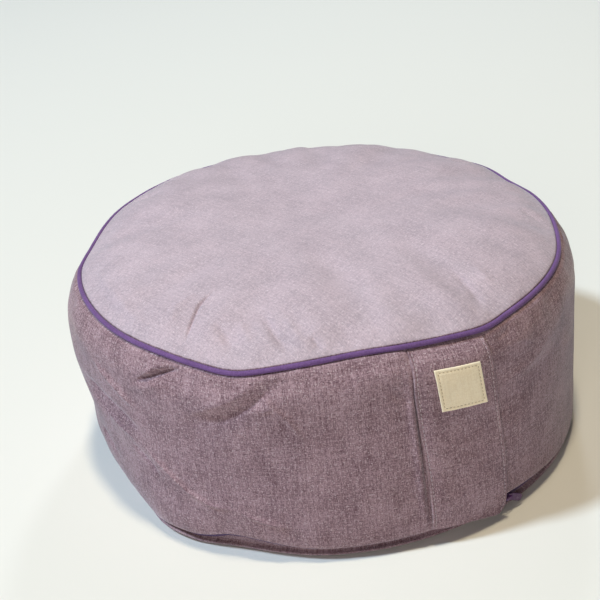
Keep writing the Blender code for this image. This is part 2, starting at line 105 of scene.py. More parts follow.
# Creases of the side band: half width and rise in mm, and the line as (turn, height in mm).
Crease = namedtuple("Crease", "width rise line")
BAND_CREASES = (
    Crease(4.2, 3.0, ((-57, 115), (-51, 125.5), (-46, 133), (-43, 140), (-39.4, 146))),
    Crease(2.7, -2.2, ((-53, 111), (-48, 119), (-43, 127), (-39.5, 136), (-36, 144))),
    Crease(2.0, 1.8, ((-40.6, 136), (-38, 127), (-35.7, 119), (-34, 110), (-33, 102))),
    Crease(2.5, 1.2, ((-45, 121.5), (-41, 125), (-37.5, 127))),
    Crease(1.3, -3.6, ((-70.5, 126), (-66.6, 134), (-60.7, 143), (-57, 147))),
    Crease(2.7, 2.9, ((-68.5, 134), (-64.5, 142), (-60.2, 148))),
    Crease(3.1, 1.8, ((-71, 121), (-66, 128), (-61, 134))),
    Crease(2.5, 2.5, ((-86, 125), (-83.8, 121.8), (-76.3, 112.4), (-70.9, 103.4))),
    Crease(2.5, -2.9, ((-93, 100), (-88, 98), (-79, 92), (-70, 85))),
    Crease(2.2, 2.5, ((-94, 92), (-89, 90), (-82, 84), (-73, 76))),
    Crease(3.1, -2.2, ((-98, 88), (-91, 80), (-84, 73))),
    Crease(1.7, 2.2, ((-71, 75), (-65.3, 64.7), (-59.3, 50.4), (-54.6, 44), (-48, 41.4))),
    Crease(1.9, 1.7, ((-48, 41.4), (-43.2, 35.2), (-37.4, 30))),
    Crease(2.2, -2.9, ((-75, 70), (-70, 61), (-67.4, 53.4))),
    Crease(3.4, -2.2, ((-97, 48), (-91, 45), (-84, 41))),
    Crease(4.7, 1.3, ((-23, 141), (-17, 142.5), (-10.5, 139))),
    Crease(3.4, -1.4, ((-14.5, 131), (-12.5, 124), (-9.5, 117))),
    Crease(1.0, -1.7, ((-9.7, 145), (-8.85, 80), (-8.05, 14))),
    Crease(2.4, 2.2, ((-10.8, 145), (-9.95, 80), (-9.15, 14))),
    Crease(2.5, 0.6, ((9.9, 108), (16, 110), (21.8, 112.5), (27, 121))),
    Crease(2.9, -0.5, ((12, 101), (19, 103), (27, 109))),
    Crease(2.5, 0.6, ((12.5, 137), (17, 133), (21, 126))),
    Crease(1.7, -0.6, ((9.5, 139), (12.5, 143), (16, 146))),
    Crease(2.7, 0.6, ((24.5, 147), (28, 142), (31, 134))),
    Crease(2.5, 0.4, ((34, 96), (42, 90), (51, 78))),
    Crease(2.5, -0.5, ((44, 140), (52, 128), (60, 122))),
    Crease(2.2, 1.3, ((66, 60), (75, 50), (86, 46))),
    Crease(2.0, -1.8, ((88, 144), (93, 132), (100, 127))),
    Crease(2.5, 1.6, ((104, 112), (112, 96), (118, 86))),
    Crease(2.0, 1.3, ((128, 60), (139, 47), (150, 42))),
    Crease(1.9, -1.8, ((140, 145), (145, 133), (153, 126))),
    Crease(2.7, 1.6, ((158, 118), (166, 104), (170, 90))),
    Crease(2.5, -1.4, ((182, 74), (191, 62), (203, 58))),
    Crease(2.0, 1.6, ((197, 146), (203, 132), (212, 124))),
    Crease(2.5, 1.4, ((216, 84), (227, 66), (240, 58))),
    Crease(1.9, -1.6, ((238, 143), (244, 130), (251, 124))),
)
# Creases of the top panel: the same, with the line as (turn, distance from the middle in mm).
TOP_CREASES = (
    Crease(1.1, -2.3, ((-61.8, 126), (-62.6, 139), (-61, 154), (-59.4, 168))),
    Crease(3.4, 1.2, ((-67, 131), (-68, 146), (-66, 163))),
    Crease(3.9, -2.3, ((-55, 150), (-50, 160), (-47, 169))),
    Crease(3.4, 2.0, ((-49, 146), (-43.5, 164))),
    Crease(2.7, -3.0, ((-43.5, 138), (-38.2, 155.6), (-34.6, 168))),
    Crease(2.7, 1.6, ((-37, 141), (-33, 158), (-30.5, 168))),
    Crease(2.4, -1.6, ((-30, 158), (-27.2, 169))),
    Crease(3.8, 1.9, ((-103, 164), (-89, 163), (-75, 167), (-66, 171))),
    Crease(2.9, -2.3, ((16, 132), (13.8, 156), (11.6, 169))),
    Crease(3.4, 1.2, ((21, 140), (19, 158))),
    Crease(2.5, -1.6, ((62, 150), (58, 168))),
    Crease(2.5, -1.9, ((104, 146), (100, 168))),
    Crease(2.5, -1.9, ((151, 150), (156, 169))),
    Crease(2.5, -1.6, ((-150, 148), (-146, 169))),
)


def polar(turn, radius):
    """x and y of a point given by its turn and its distance from the middle."""
    angle = math.radians(turn - 90)
    return radius * math.cos(angle), radius * math.sin(angle)


def ease(u):
    """A smooth step from 0 to 1."""
    u = np.clip(u, 0.0, 1.0)
    return u * u * (3 - 2 * u)


def smooth_rows(rows, times):
    """A closed run of number rows, each made the mean of itself and its neighbours."""
    values = np.array(rows)
    for _ in range(times):
        values = 0.5 * values + 0.25 * (np.roll(values, 1, 0) + np.roll(values, -1, 0))
    return values


class Shell:
    """The outside of a piece, read by straight lines towards its middle."""

    REACH = 0.3

    def __init__(self, piece):
        mesh = piece.data
        points = [v.co.copy() for v in mesh.vertices]
        self.tree = BVHTree.FromPolygons(points, [tuple(p.vertices) for p in mesh.polygons])

    def wall(self, turn, height):
        """The outside's distance from the middle at a turn and a height, or None."""
        out = Vector((*polar(turn, 1), 0))
        start = out * self.REACH + Vector((0, 0, height))
        hit = self.tree.ray_cast(start, -out, self.REACH)[0]
        return math.hypot(hit.x, hit.y) if hit else None

    def top(self, x, y):
        """The highest point over a place."""
        return self.tree.ray_cast(Vector((x, y, self.REACH)), Vector((0, 0, -1)))[0].z


def read_ring(piece, least):
    """A ring-shaped piece's inner and outer radius and low and high edge, at each turn where it
    has at least so many points."""
    found = {}
    for v in piece.data.vertices:
        turn = round(math.degrees(math.atan2(v.co.x, -v.co.y)) * 4) / 4 % 360
        found.setdefault(turn, set()).add((math.hypot(v.co.x, v.co.y), v.co.z))
    turns = sorted(t for t in found if len(found[t]) >= least)
    rows = []
    for t in turns:
        radii, heights = [r for r, _ in found[t]], [z for _, z in found[t]]
        rows.append((min(radii), max(radii), min(heights), max(heights)))
    return turns, np.array(rows)


shell = Shell(cad_cushion)


def read_seam():
    """Radius and height of the piping's middle line, at every column."""
    turns, rows = read_ring(cad_piping, 6)
    at = np.arange(COLUMNS) * COLUMN_STEP
    radius = np.interp(at, turns, (rows[:, 0] + rows[:, 1]) / 2, period=360)
    height = np.interp(at, turns, (rows[:, 2] + rows[:, 3]) / 2, period=360)
    return smooth_rows(np.column_stack((radius, height)), 1)


MOUTH_READINGS = 64


def read_mouth(turn):
    """The open lower seam at a turn: its lip's and base edge's radii and heights."""
    step = 0.4 * MM
    heights = [1.5 * MM + step * k for k in range(MOUTH_READINGS)]
    radii = [shell.wall(turn, z) for z in heights]
    wall = max(radii) - 3.0 * MM
    deep = [k for k, r in enumerate(radii) if r < wall and heights[k] > 4 * MM]
    first, last = min(deep), max(deep)
    low, high = max(first - 2, 0), min(last + 4, MOUTH_READINGS - 1)
    return radii[high], heights[last] + step, radii[low], heights[first] - step


seam_rows = read_seam()
mouth_rows = smooth_rows([read_mouth(k * COLUMN_STEP) for k in range(COLUMNS)], 3)
column_turns = np.arange(COLUMNS) * COLUMN_STEP


def ring_value(rows, column, turn):
    """A column of a ring's rows at any turn."""
    return np.interp(turn, column_turns, rows[:, column], period=360)


def wrap(turn):
    """The same turn, from -180 to 180."""
    return (turn + 180) % 360 - 180


def strap_press(turn):
    """How much of the strap's top end lies on the band at a turn, from 0 to 1."""
    arc = math.radians(wrap(turn)) * STRAP_ROUND - STRAP_TOP_SHIFT
    return float(ease((STRAP_TOP_WIDTH / 2 + 2.5 * MM - abs(arc)) / (3 * MM)))


def cover_section(column):
    """The cover's outline at a column, from its top core's rim to its base's middle: radius,
    height, zone, and how much of an edge it is."""
    turn = column * COLUMN_STEP
    seam_radius, seam_height = seam_rows[column]
    lip_radius, lip_height, edge_radius, edge_height = mouth_rows[column]
    points = []
    edge = seam_radius - PIPING_RADIUS - PANEL_EDGE
    for k in range(1, TOP_ROWS + 1):
        radius = CORE_RADIUS + (edge - CORE_RADIUS) * k / TOP_ROWS
        points.append((radius, shell.top(*polar(turn, radius)), "top", 0.0))
    # The panel's edge goes down between the piping and the filling, and the band comes out
    # from under it. The strap's end is sewn in there too, and presses the band in.
    hug = PIPING_RADIUS + 0.15 * MM
    press = 2.3 * MM * strap_press(turn)
    for angle, zone in ((128, "top"), (160, "seam"), (205, "seam"), (250, "seam"), (285, "band")):
        around = math.radians(angle)
        radius = seam_radius + hug * math.cos(around) - press * (angle > 230)
        points.append((radius, seam_height + hug * math.sin(around), zone, 0.35))
    first, last = seam_height - PIPING_RADIUS - 2.4 * MM, lip_height + 2.2 * MM
    for k in range(BAND_ROWS):
        share = k / (BAND_ROWS - 1)
        height = first + (last - first) * share
        tucked = press * float(ease((height - seam_height + 13 * MM) / (9 * MM)))
        near_edge = max(1 - (height - lip_height) / (5 * MM), 0) * 0.5
        points.append((shell.wall(turn, height) - tucked, height, "band", near_edge))
    open_by = lip_height - edge_height
    back = lip_radius - MOUTH_DEPTH
    points += [
        (lip_radius - 0.2 * MM, lip_height + 0.6 * MM, "band", 1.0),
        (lip_radius - 1.3 * MM, lip_height - 0.1 * MM, "lip", 1.0),
        (back, lip_height + 0.6 * MM, "lip", 0.0),
        (back - 0.6 * MM, lip_height - 0.5 * open_by, "lip", 0.0),
        (edge_radius - MOUTH_DEPTH + 0.6 * MM, edge_height - 0.6 * MM, "lip", 0.0),
        (edge_radius - 1.0 * MM, edge_height + 0.1 * MM, "lip", 1.0),
        (edge_radius + 0.1 * MM, edge_height - 0.8 * MM, "base", 0.8),
        (edge_radius - 0.8 * MM, 0.45 * edge_height, "base", 0.3),
        (edge_radius - 3.4 * MM, 0.16 * edge_height, "base", 0.0),
        (edge_radius - 8.5 * MM, 0.2 * MM, "base", 0.0),
    ]
    foot = edge_radius - 14 * MM
    for k in range(BASE_ROWS):
        points.append((foot * (1 - k / BASE_ROWS), 0.0, "base", 0.0))
    return points


def core_grid(bm):
    """The top panel's middle, a round patch of square cells whose rim has COLUMNS points.
    Returns the rim, in column order, and the faces."""
    half = CORE // 2
    points = {}
    for i in range(-half, half + 1):
        for j in range(-half, half + 1):
            ring = max(abs(i), abs(j))
            if ring == 0:
                angle = 0
            elif abs(i) >= abs(j):
                angle = math.pi / 4 * j / i + (0 if i > 0 else math.pi)
            else:
                angle = math.pi / 2 - math.pi / 4 * i / j + (0 if j > 0 else math.pi)
            reach = CORE_RADIUS * ring / half
            x, y = reach * math.cos(angle), reach * math.sin(angle)
            points[i, j] = bm.verts.new((x, y, shell.top(x, y)))
    rim = [None] * COLUMNS
    for (i, j), v in points.items():
        if max(abs(i), abs(j)) == half:
            turn = math.degrees(math.atan2(v.co.x, -v.co.y)) % 360
            rim[round(turn / COLUMN_STEP) % COLUMNS] = v
    faces = []
    for i in range(-half, half):
        for j in range(-half, half):
            corners = [points[i, j], points[i + 1, j], points[i + 1, j + 1], points[i, j + 1]]
            faces.append(bm.faces.new(corners))
    return rim, faces


ZONES = ("top", "seam", "band", "lip", "base")


def on_panel_grain(x, y):
    """A place on the top or base panel, measured across and along its yarns."""
    c, s = math.cos(TOP_GRAIN_TURN), math.sin(TOP_GRAIN_TURN)
    return x * c + y * s, x * s - y * c


def build_cover():
    """The sewn cover, closed, with its zones in a face layer, the cloth's own coordinates, in
    metres, in the UV map "cloth". The UV map "edge" tells how much of an edge each place is, where
    the cloth is painted paler for wear and as a painted highlight, and whether it is on the top
    panel, which is painted paler for the light that falls on it."""
    bm = bmesh.new()
    zone_layer = bm.faces.layers.int.new("zone")
    cloth = bm.loops.layers.uv.new("cloth")
    edge_layer = bm.loops.layers.uv.new("edge")
    rim, top_faces = core_grid(bm)
    edges = {v: 0.0 for v in bm.verts}
    sections = [cover_section(k) for k in range(COLUMNS)]
    rows = [rim]
    for i in range(len(sections[0])):
        row = []
        for k, section in enumerate(sections):
            radius, height, _, near_edge = section[i]
            made = bm.verts.new((*polar(k * COLUMN_STEP, radius), height))
            edges[made] = near_edge
            row.append(made)
        rows.append(row)
    names = [point[2] for point in sections[0]]
    for i, (a, b) in enumerate(zip(rows, rows[1:])):
        for k in range(COLUMNS):
            n = (k + 1) % COLUMNS
            face = bm.faces.new((a[k], b[k], b[n], a[n]))
            face[zone_layer] = ZONES.index(names[i])
            if names[i] in ("band", "lip"):
                for loop, column in zip(face.loops, (k, k, k + 1, k + 1)):
                    arc = math.radians(column * COLUMN_STEP) * BAND_ROUND
                    loop[cloth].uv = (arc, loop.vert.co.z)
    for face in top_faces:
        face[zone_layer] = ZONES.index("top")
    for face in bm.faces:
        flat = ZONES[face[zone_layer]] in ("top", "seam", "base")
        on_top = float(ZONES[face[zone_layer]] == "top")
        for loop in face.loops:
            loop[edge_layer].uv = (edges[loop.vert], on_top)
            if flat:
                loop[cloth].uv = on_panel_grain(loop.vert.co.x, loop.vert.co.y)
    return add_mesh("cover", bm)


def add_mesh(name, bm):
    """Turns a bmesh into a smooth-shaded piece."""
    bmesh.ops.recalc_face_normals(bm, faces=bm.faces)
    mesh = bpy.data.meshes.new(name)
    bm.to_mesh(mesh)
    bm.free()
    mesh.shade_smooth()
    piece = bpy.data.objects.new(name, mesh)
    bpy.context.scene.collection.objects.link(piece)
    return piece


def apply_modifiers(piece):
    """Makes what a piece's modifiers do its own mesh."""
    graph = bpy.context.evaluated_depsgraph_get()
    made = bpy.data.meshes.new_from_object(piece.evaluated_get(graph))
    old = piece.data
    piece.modifiers.clear()
    piece.data = made
    bpy.data.meshes.remove(old)


def coordinates(mesh):
    """A mesh's points as an array."""
    out = np.empty(len(mesh.vertices) * 3)
    mesh.vertices.foreach_get("co", out)
    return out.reshape(-1, 3)


def set_coordinates(mesh, points):
    """Moves a mesh's points."""
    mesh.vertices.foreach_set("co", points.ravel())
    mesh.update()


def neighbour_mean(mesh):
    """A function that gives each point the mean of its neighbours' values."""
    pairs = np.empty(len(mesh.edges) * 2, dtype=np.int64)
    mesh.edges.foreach_get("vertices", pairs)
    a, b = pairs.reshape(-1, 2).T
    size = len(mesh.vertices)
    count = np.bincount(a, minlength=size) + np.bincount(b, minlength=size)

    def mean(values):
        out = np.empty_like(values)
        for c in range(values.shape[1]):
            total = np.bincount(a, values[b, c], size) + np.bincount(b, values[a, c], size)
            out[:, c] = total / count
        return out

    return mean


def zone_of_points(mesh, names):
    """Which points touch only faces of these zones."""
    zones = np.empty(len(mesh.polygons), dtype=np.int32)
    mesh.attributes["zone"].data.foreach_get("value", zones)
    inside = np.isin(zones, [ZONES.index(n) for n in names])
    keep = np.ones(len(mesh.vertices), dtype=bool)
    totals = np.empty(len(mesh.polygons), dtype=np.int64)
    corners = np.empty(len(mesh.loops), dtype=np.int64)
    mesh.polygons.foreach_get("loop_total", totals)
    mesh.loops.foreach_get("vertex_index", corners)
    keep[corners[np.repeat(~inside, totals)]] = False
    return keep


def soften(mesh, names, times):
    """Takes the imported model's facets out of these zones."""
    points, mean = coordinates(mesh), neighbour_mean(mesh)
    free = zone_of_points(mesh, names)
    for _ in range(times):
        points[free] += 0.5 * (mean(points)[free] - points[free])
    set_coordinates(mesh, points)


def normals_of(mesh):
    """The normal at each of a mesh's points."""
    out = np.empty(len(mesh.vertices) * 3)
    mesh.vertex_normals.foreach_get("vector", out)
    return out.reshape(-1, 3)


FRAMES = 20
SIMULATION_CAP = 2.6 * MM
SIMULATION_SHARE = 0.8
BROAD_PASSES = 40
PUCKER_PASSES = 5
RING_REACH = 8


def fill_cover(piece):
    """Blows the cover up from inside with the seams held, and keeps the small puckers that the
    spare cloth makes. The form itself stays."""
    mesh = piece.data
    start = coordinates(mesh)
    free = zone_of_points(mesh, ("top",)) | zone_of_points(mesh, ("band",))
    sewn = piece.vertex_groups.new(name="sewn")
    sewn.add([int(k) for k in np.nonzero(~free)[0]], 1.0, "REPLACE")
    cloth = piece.modifiers.new("filling", "CLOTH")
    settings = cloth.settings
    settings.quality = 6
    settings.mass = 0.25
    settings.tension_stiffness = settings.compression_stiffness = 18
    settings.shear_stiffness = 8
    settings.bending_stiffness = 0.35
    settings.vertex_group_mass = "sewn"
    settings.use_pressure = True
    settings.uniform_pressure_force = 3.5
    settings.shrink_min = -0.035
    settings.effector_weights.gravity = 0
    cloth.collision_settings.use_collision = False
    cloth.collision_settings.use_self_collision = False
    cloth.point_cache.frame_start, cloth.point_cache.frame_end = 1, FRAMES
    for number in range(1, FRAMES + 1):
        bpy.context.scene.frame_set(number)
    graph = bpy.context.evaluated_depsgraph_get()
    moved = coordinates(piece.evaluated_get(graph).data) - start
    piece.modifiers.clear()
    bpy.context.scene.frame_set(1)
    mean = neighbour_mean(mesh)
    broad = moved.copy()
    for _ in range(BROAD_PASSES):
        broad = mean(broad)
    moved -= broad
    # What a long stretch of a ring does alike would change the form.
    rings = moved[(CORE + 1) ** 2 :].reshape(-1, COLUMNS, 3)
    outward = np.array([(*polar(k * COLUMN_STEP, 1), 0) for k in range(COLUMNS)])
    for direction in (outward, np.array([0, 0, 1])):
        part = (rings * direction).sum(2)
        near = [np.roll(part, k, 1) for k in range(-RING_REACH, RING_REACH + 1)]
        alike = sum(near) / len(near)
        rings -= alike[..., None] * direction
    far = np.linalg.norm(moved, axis=1)
    moved *= (SIMULATION_CAP / np.maximum(far, SIMULATION_CAP))[:, None]
    moved[~free] = 0
    for _ in range(PUCKER_PASSES):
        moved = 0.5 * (moved + mean(moved))
        moved[~free] = 0
    set_coordinates(mesh, start + SIMULATION_SHARE * moved)


def crease_lift(across, up, creases, place):
    """How far creases lift points, in mm. place turns a line's point into the same across and
    up as the points have, in mm."""
    total = np.zeros(len(across))
    for crease in creases:
        line = np.array([place(*point) for point in crease.line])
        steps = np.diff(line, axis=0)
        lengths = np.hypot(steps[:, 0], steps[:, 1])
        gone, whole = 0.0, lengths.sum()
        near, share = np.full(len(across), 1e9), np.zeros(len(across))
        for (x, y), (dx, dy), length in zip(line, steps, lengths):
            t = np.clip(((across - x) * dx + (up - y) * dy) / length**2, 0, 1)
            away = np.hypot(across - x - t * dx, up - y - t * dy)
            closer = away < near
            near = np.where(closer, away, near)
            share = np.where(closer, (gone + t * length) / whole, share)
            gone += length
        fade = ease(np.minimum(share, 1 - share) / 0.3) * 0.85 + 0.15
        total += crease.rise * fade * np.exp(-((near / crease.width) ** 1.5))
    return total


def near_creases(across, up, creases, place, limit, reach):
    """Which points lie within reach, in mm, of a crease narrower than the limit."""
    narrow = [Crease(reach, 1, c.line) for c in creases if c.width < limit]
    return crease_lift(across, up, narrow, place) > 0.06


def band_place(turn, height):
    """A crease's point on the side band, in mm round it and up it."""
    return math.radians(wrap(turn)) * BAND_ROUND / MM, height


def top_place(turn, radius):
    """A crease's point on the top panel, in mm."""
    return polar(turn, radius)


def panel_places(points):
    """Points' turns, arcs round the band in mm, radii and heights."""
    turns = np.degrees(np.arctan2(points[:, 0], -points[:, 1]))
    return turns, np.radians(turns) * BAND_ROUND / MM, np.hypot(points[:, 0], points[:, 1])


def close_base(bm):
    """Closes the base panel's middle, which is open until the cover has been subdivided."""
    cloth = bm.loops.layers.uv["cloth"]
    zone_layer = bm.faces.layers.int["zone"]
    rim = [e for e in bm.edges if e.is_boundary]
    middle = bm.verts.new((0, 0, 0))
    for e in rim:
        face = bm.faces.new((*e.verts, middle))
        face.smooth = True
        face[zone_layer] = ZONES.index("base")
        for loop in face.loops:
            loop[cloth].uv = on_panel_grain(loop.vert.co.x, loop.vert.co.y)
    bmesh.ops.recalc_face_normals(bm, faces=bm.faces)


def refine_creases(piece, limit, reach, close):
    """Cuts the cover finer beside its creases narrower than the limit, and may close its base."""
    mesh = piece.data
    points = coordinates(mesh)
    _, arcs, _ = panel_places(points)
    band, top = zone_of_points(mesh, ("band",)), zone_of_points(mesh, ("top",))
    chosen = band & near_creases(arcs, points[:, 2] / MM, BAND_CREASES, band_place, limit, reach)
    flat = points / MM
    chosen |= top & near_creases(flat[:, 0], flat[:, 1], TOP_CREASES, top_place, limit, reach)
    bm = bmesh.new()
    bm.from_mesh(mesh)
    bm.verts.ensure_lookup_table()
    picked = [e for e in bm.edges if chosen[e.verts[0].index] and chosen[e.verts[1].index]]
    bmesh.ops.subdivide_edges(bm, edges=picked, cuts=1, use_grid_fill=True, smooth=0.0)
    if close:
        close_base(bm)
    bm.to_mesh(mesh)
    bm.free()
    mesh.update()


def unevenness(points, pitch, seed):
    """Smooth noise from about -1 to 1 at each point, with lumps of this pitch in metres."""
    shift = Vector((seed, 0.37 * seed, 0.71 * seed))
    return np.array([noise.noise(Vector(p) / pitch + shift) for p in points])


def press_creases(piece):
    """Creases, gathers beside the seams, and the filling's unevenness."""
    mesh = piece.data
    points = coordinates(mesh)
    band, top = zone_of_points(mesh, ("band",)), zone_of_points(mesh, ("top",))
    turns, arcs, radii = panel_places(points)
    seam_radius = ring_value(seam_rows, 0, turns % 360)
    seam_height = ring_value(seam_rows, 1, turns % 360)
    lip_height = ring_value(mouth_rows, 1, turns % 360)
    heights = points[:, 2]
    lift = np.zeros(len(points))
    under, over = seam_height - PIPING_RADIUS - heights, heights - lip_height
    calm = ease((under - 0.6 * MM) / (6 * MM)) * ease((over - 1 * MM) / (8 * MM))
    on_band = crease_lift(arcs[band], heights[band] / MM, BAND_CREASES, band_place)
    lift[band] = on_band * calm[band]
    inside = seam_radius - PIPING_RADIUS - radii
    still = ease((inside - 1.2 * MM) / (6 * MM))
    on_top = crease_lift(points[top, 0] / MM, points[top, 1] / MM, TOP_CREASES, top_place)
    lift[top] = on_top * still[top]
    # The band swells up to the piping, but for where the strap's end is sewn in.
    free = 1 - np.array([strap_press(turn) for turn in turns])
    shoulder = 1.3 * np.exp(-(((under - 2.6 * MM) / (2.6 * MM)) ** 2)) * free
    lift += np.where(band, shoulder, 0)
    # Gathers run away from each seam and die out in 15 to 30 mm.
    stretch = points * [1, 1, 0.25]
    gathers = unevenness(stretch, 5 * MM, 3.1) + 0.7 * unevenness(stretch, 9 * MM, 8.7)
    near_seam = np.where(band, np.exp(-under / (7 * MM)) + np.exp(-over / (6 * MM)), 0)
    lift += 0.42 * gathers * np.minimum(near_seam, 1) * ease(under / (1.5 * MM)) * ease(over / (1 * MM))
    spokes = np.column_stack((np.radians(turns) * 8.5, radii / MM / 26, np.zeros(len(turns))))
    spread = np.array([noise.noise(Vector(p) * 3.1) for p in spokes])
    lift += np.where(top, 0.75 * spread * np.exp(-inside / (13 * MM)) * ease(inside / (2 * MM)), 0)
    # The hulls inside make it a little lumpy.
    lumps = 0.32 * unevenness(points, 26 * MM, 1.3) + 0.12 * unevenness(points, 11 * MM, 5.9)
    lift += lumps * (band * calm + top * still)
    set_coordinates(mesh, points + normals_of(mesh) * (lift * MM)[:, None])


def subdivide(piece, levels):
    """Smooth subdivision, applied."""
    divide = piece.modifiers.new("finer", "SUBSURF")
    divide.levels = divide.render_levels = levels
    apply_modifiers(piece)


cover = build_cover()
soften(cover.data, ("top",), 5)
soften(cover.data, ("band",), 5)
fill_cover(cover)
subdivide(cover, 1)
refine_creases(cover, 2.5, 3.2, False)
refine_creases(cover, 1.4, 1.8, True)
press_creases(cover)
cover_shell = Shell(cover)


def skin(bm, rows, cloth, edge=None, closed_rows=False):
    """Faces over rows of points, each row a closed loop. cloth gives the cloth coordinates of a
    row and column, and edge how much of an edge it is. Rows that don't close get flat ends."""
    cloth_layer = bm.loops.layers.uv["cloth"]
    lines, columns = len(rows), len(rows[0])
    for i in range(lines if closed_rows else lines - 1):
        for j in range(columns):
            corners = ((i, j), (i + 1, j), (i + 1, j + 1), (i, j + 1))
            face = bm.faces.new([rows[a % lines][b % columns] for a, b in corners])
            for loop, (a, b) in zip(face.loops, corners):
                loop[cloth_layer].uv = cloth(a, b)
                if edge:
                    loop[bm.loops.layers.uv["edge"]].uv = (edge(a, b), 0)
    if not closed_rows:
        bm.faces.new(rows[0])
        bm.faces.new(rows[-1])


def loft(name, rows, cloth, edge=None, closed_rows=False):
    """A piece from rows of points, each row a closed loop."""
    bm = bmesh.new()
    bm.loops.layers.uv.new("cloth")
    bm.loops.layers.uv.new("edge")
    made = [[bm.verts.new(point) for point in row] for row in rows]
    skin(bm, made, cloth, edge, closed_rows)
    bmesh.ops.remove_doubles(bm, verts=bm.verts, dist=0.01 * MM)
    return add_mesh(name, bm)


PIPING_SIDES = 16
PIPING_RINGS = 960
PIPING_ROUND = 178 * MM
PIPING_CORE = 1.76
PIPING_LAP_TURN = 171


def build_piping():
    """The cord in its bias-cut cloth, a little uneven, with its two ends lapped at the back."""
    rows = []
    for k in range(PIPING_RINGS):
        turn = 360 * k / PIPING_RINGS
        radius, height = (float(ring_value(seam_rows, c, turn)) for c in (0, 1))
        arc = math.radians(turn) * radius / MM
        round_x, round_y = polar(turn, 1)
        lap = (turn - PIPING_LAP_TURN) * math.radians(1) * radius / MM
        lapped = float(ease((lap + 6) / 1.2) * ease((6 - lap) / 5))
        row = []
        for side in range(PIPING_SIDES):
            around = 2 * math.pi * side / PIPING_SIDES
            swell = noise.noise(Vector((round_x * 16, round_y * 16, 0.4 * math.cos(around))))
            rib = math.sin(arc * 1.9 - around * 2 + 3 * swell)
            wrinkle = noise.noise(Vector((arc / 2.6 - 1.4 * around, around, 4)))
            # The lapped end lies on the cord's outer side.
            outer = 0.5 + 0.5 * math.cos(around - 0.6)
            size = PIPING_CORE + 0.08 * swell + 0.025 * rib + 0.06 * wrinkle
            size = (size + 0.24 * lapped * outer) * MM
            place = polar(turn, radius + size * math.cos(around))
            row.append((*place, height + size * math.sin(around)))
        rows.append(row)

    def cloth(i, j):
        return 2 * math.pi * PIPING_ROUND * i / PIPING_RINGS, 2 * math.pi * PIPING_RADIUS * j / PIPING_SIDES

    return loft("piping_cord", rows, cloth, closed_rows=True)


piping = build_piping()

# The strap's own form: where its inner face runs, on a grid of shares across and down.
STRAP_SHARES = 40
STRAP_DOWNS = 92
strap_shell = Shell(cad_strap)


def strap_plan(share, down):
    """A place on the strap: share is 0 at its left edge and 1 at its right, down is 0 at its
    top end and 1 at its low end. Returns turn, height and the width there."""
    width = STRAP_TOP_WIDTH + (STRAP_WIDTH - STRAP_TOP_WIDTH) * float(ease(down / 0.2))
    shift = STRAP_TOP_SHIFT + (STRAP_LOW_SHIFT - STRAP_TOP_SHIFT) * float(ease(down))
    into_corner = max(STRAP_CORNER_RADIUS - (1 - down) * STRAP_LENGTH, 0)
    cut = STRAP_CORNER_RADIUS - math.sqrt(STRAP_CORNER_RADIUS**2 - into_corner**2)
    turn = math.degrees((shift - width / 2 + share * (width - cut)) / STRAP_ROUND)
    start = float(ring_value(seam_rows, 1, turn % 360)) - PIPING_RADIUS - 0.5 * MM
    end = STRAP_LEFT_END_HEIGHT + (STRAP_RIGHT_END_HEIGHT - STRAP_LEFT_END_HEIGHT) * share
    return turn, start + (end - start) * down, width - cut


def read_strap():
    """The inner face's radius over the grid, clear of the cover."""
    grid = np.zeros((STRAP_DOWNS + 1, STRAP_SHARES + 1))
    for i in range(STRAP_DOWNS + 1):
        for j in range(STRAP_SHARES + 1):
            share = min(max(j / STRAP_SHARES, 0.012), 0.988)
            down = min(max(i / STRAP_DOWNS, 0.016), 0.985)
            turn, height, _ = strap_plan(share, down)
            solid = strap_shell.wall(turn, height)
            inner = (solid or grid[i - 1, j] + STRAP_THICKNESS) - STRAP_THICKNESS
            turn, height, _ = strap_plan(j / STRAP_SHARES, i / STRAP_DOWNS)
            lip = float(ring_value(mouth_rows, 1, turn % 360)) + 0.8 * MM
            under = cover_shell.wall(turn, max(height, lip)) + 0.3 * MM
            free = float(ease(i / STRAP_DOWNS / 0.07))
            free *= 1 - 0.9 * float(ease(1 - j / STRAP_SHARES / 0.2))
            grid[i, j] = max(under, under + (inner - under) * free)
    for _ in range(4):
        inside = grid[1:-1, 1:-1]
        around = grid[:-2, 1:-1] + grid[2:, 1:-1] + grid[1:-1, :-2] + grid[1:-1, 2:]
        grid[1:-1, 1:-1] = 0.5 * inside + 0.125 * around
    return grid


strap_grid = read_strap()


def grid_mix(a, b, u):
    """A value between two."""
    return a + (b - a) * u


def strap_at(share, down, outward):
    """A point of the strap, outward from its inner face."""
    x, y = min(max(share, 0), 1) * STRAP_SHARES, min(max(down, 0), 1) * STRAP_DOWNS
    i, j = min(int(y), STRAP_DOWNS - 1), min(int(x), STRAP_SHARES - 1)
    u, v = x - j, y - i
    top = grid_mix(strap_grid[i, j], strap_grid[i, j + 1], u)
    low = grid_mix(strap_grid[i + 1, j], strap_grid[i + 1, j + 1], u)
    turn, height, _ = strap_plan(share, down)
    place = Vector((turn / 10, height / (26 * MM), 2.2))
    wave = 0.35 * noise.noise(place) + 0.18 * noise.noise(place * 2.7)
    wave *= float(ease(down / 0.12) * ease((1 - down) / 0.1))
    radius = grid_mix(top, low, v) + outward + max(wave, -0.2) * MM
    return Vector((*polar(turn, radius), height))


def rounded(distance, radius):
    """How full a rounded edge is at a distance in from it, from 0 to 1."""
    return math.sqrt(1 - (1 - distance / radius) ** 2) if distance < radius else 1.0


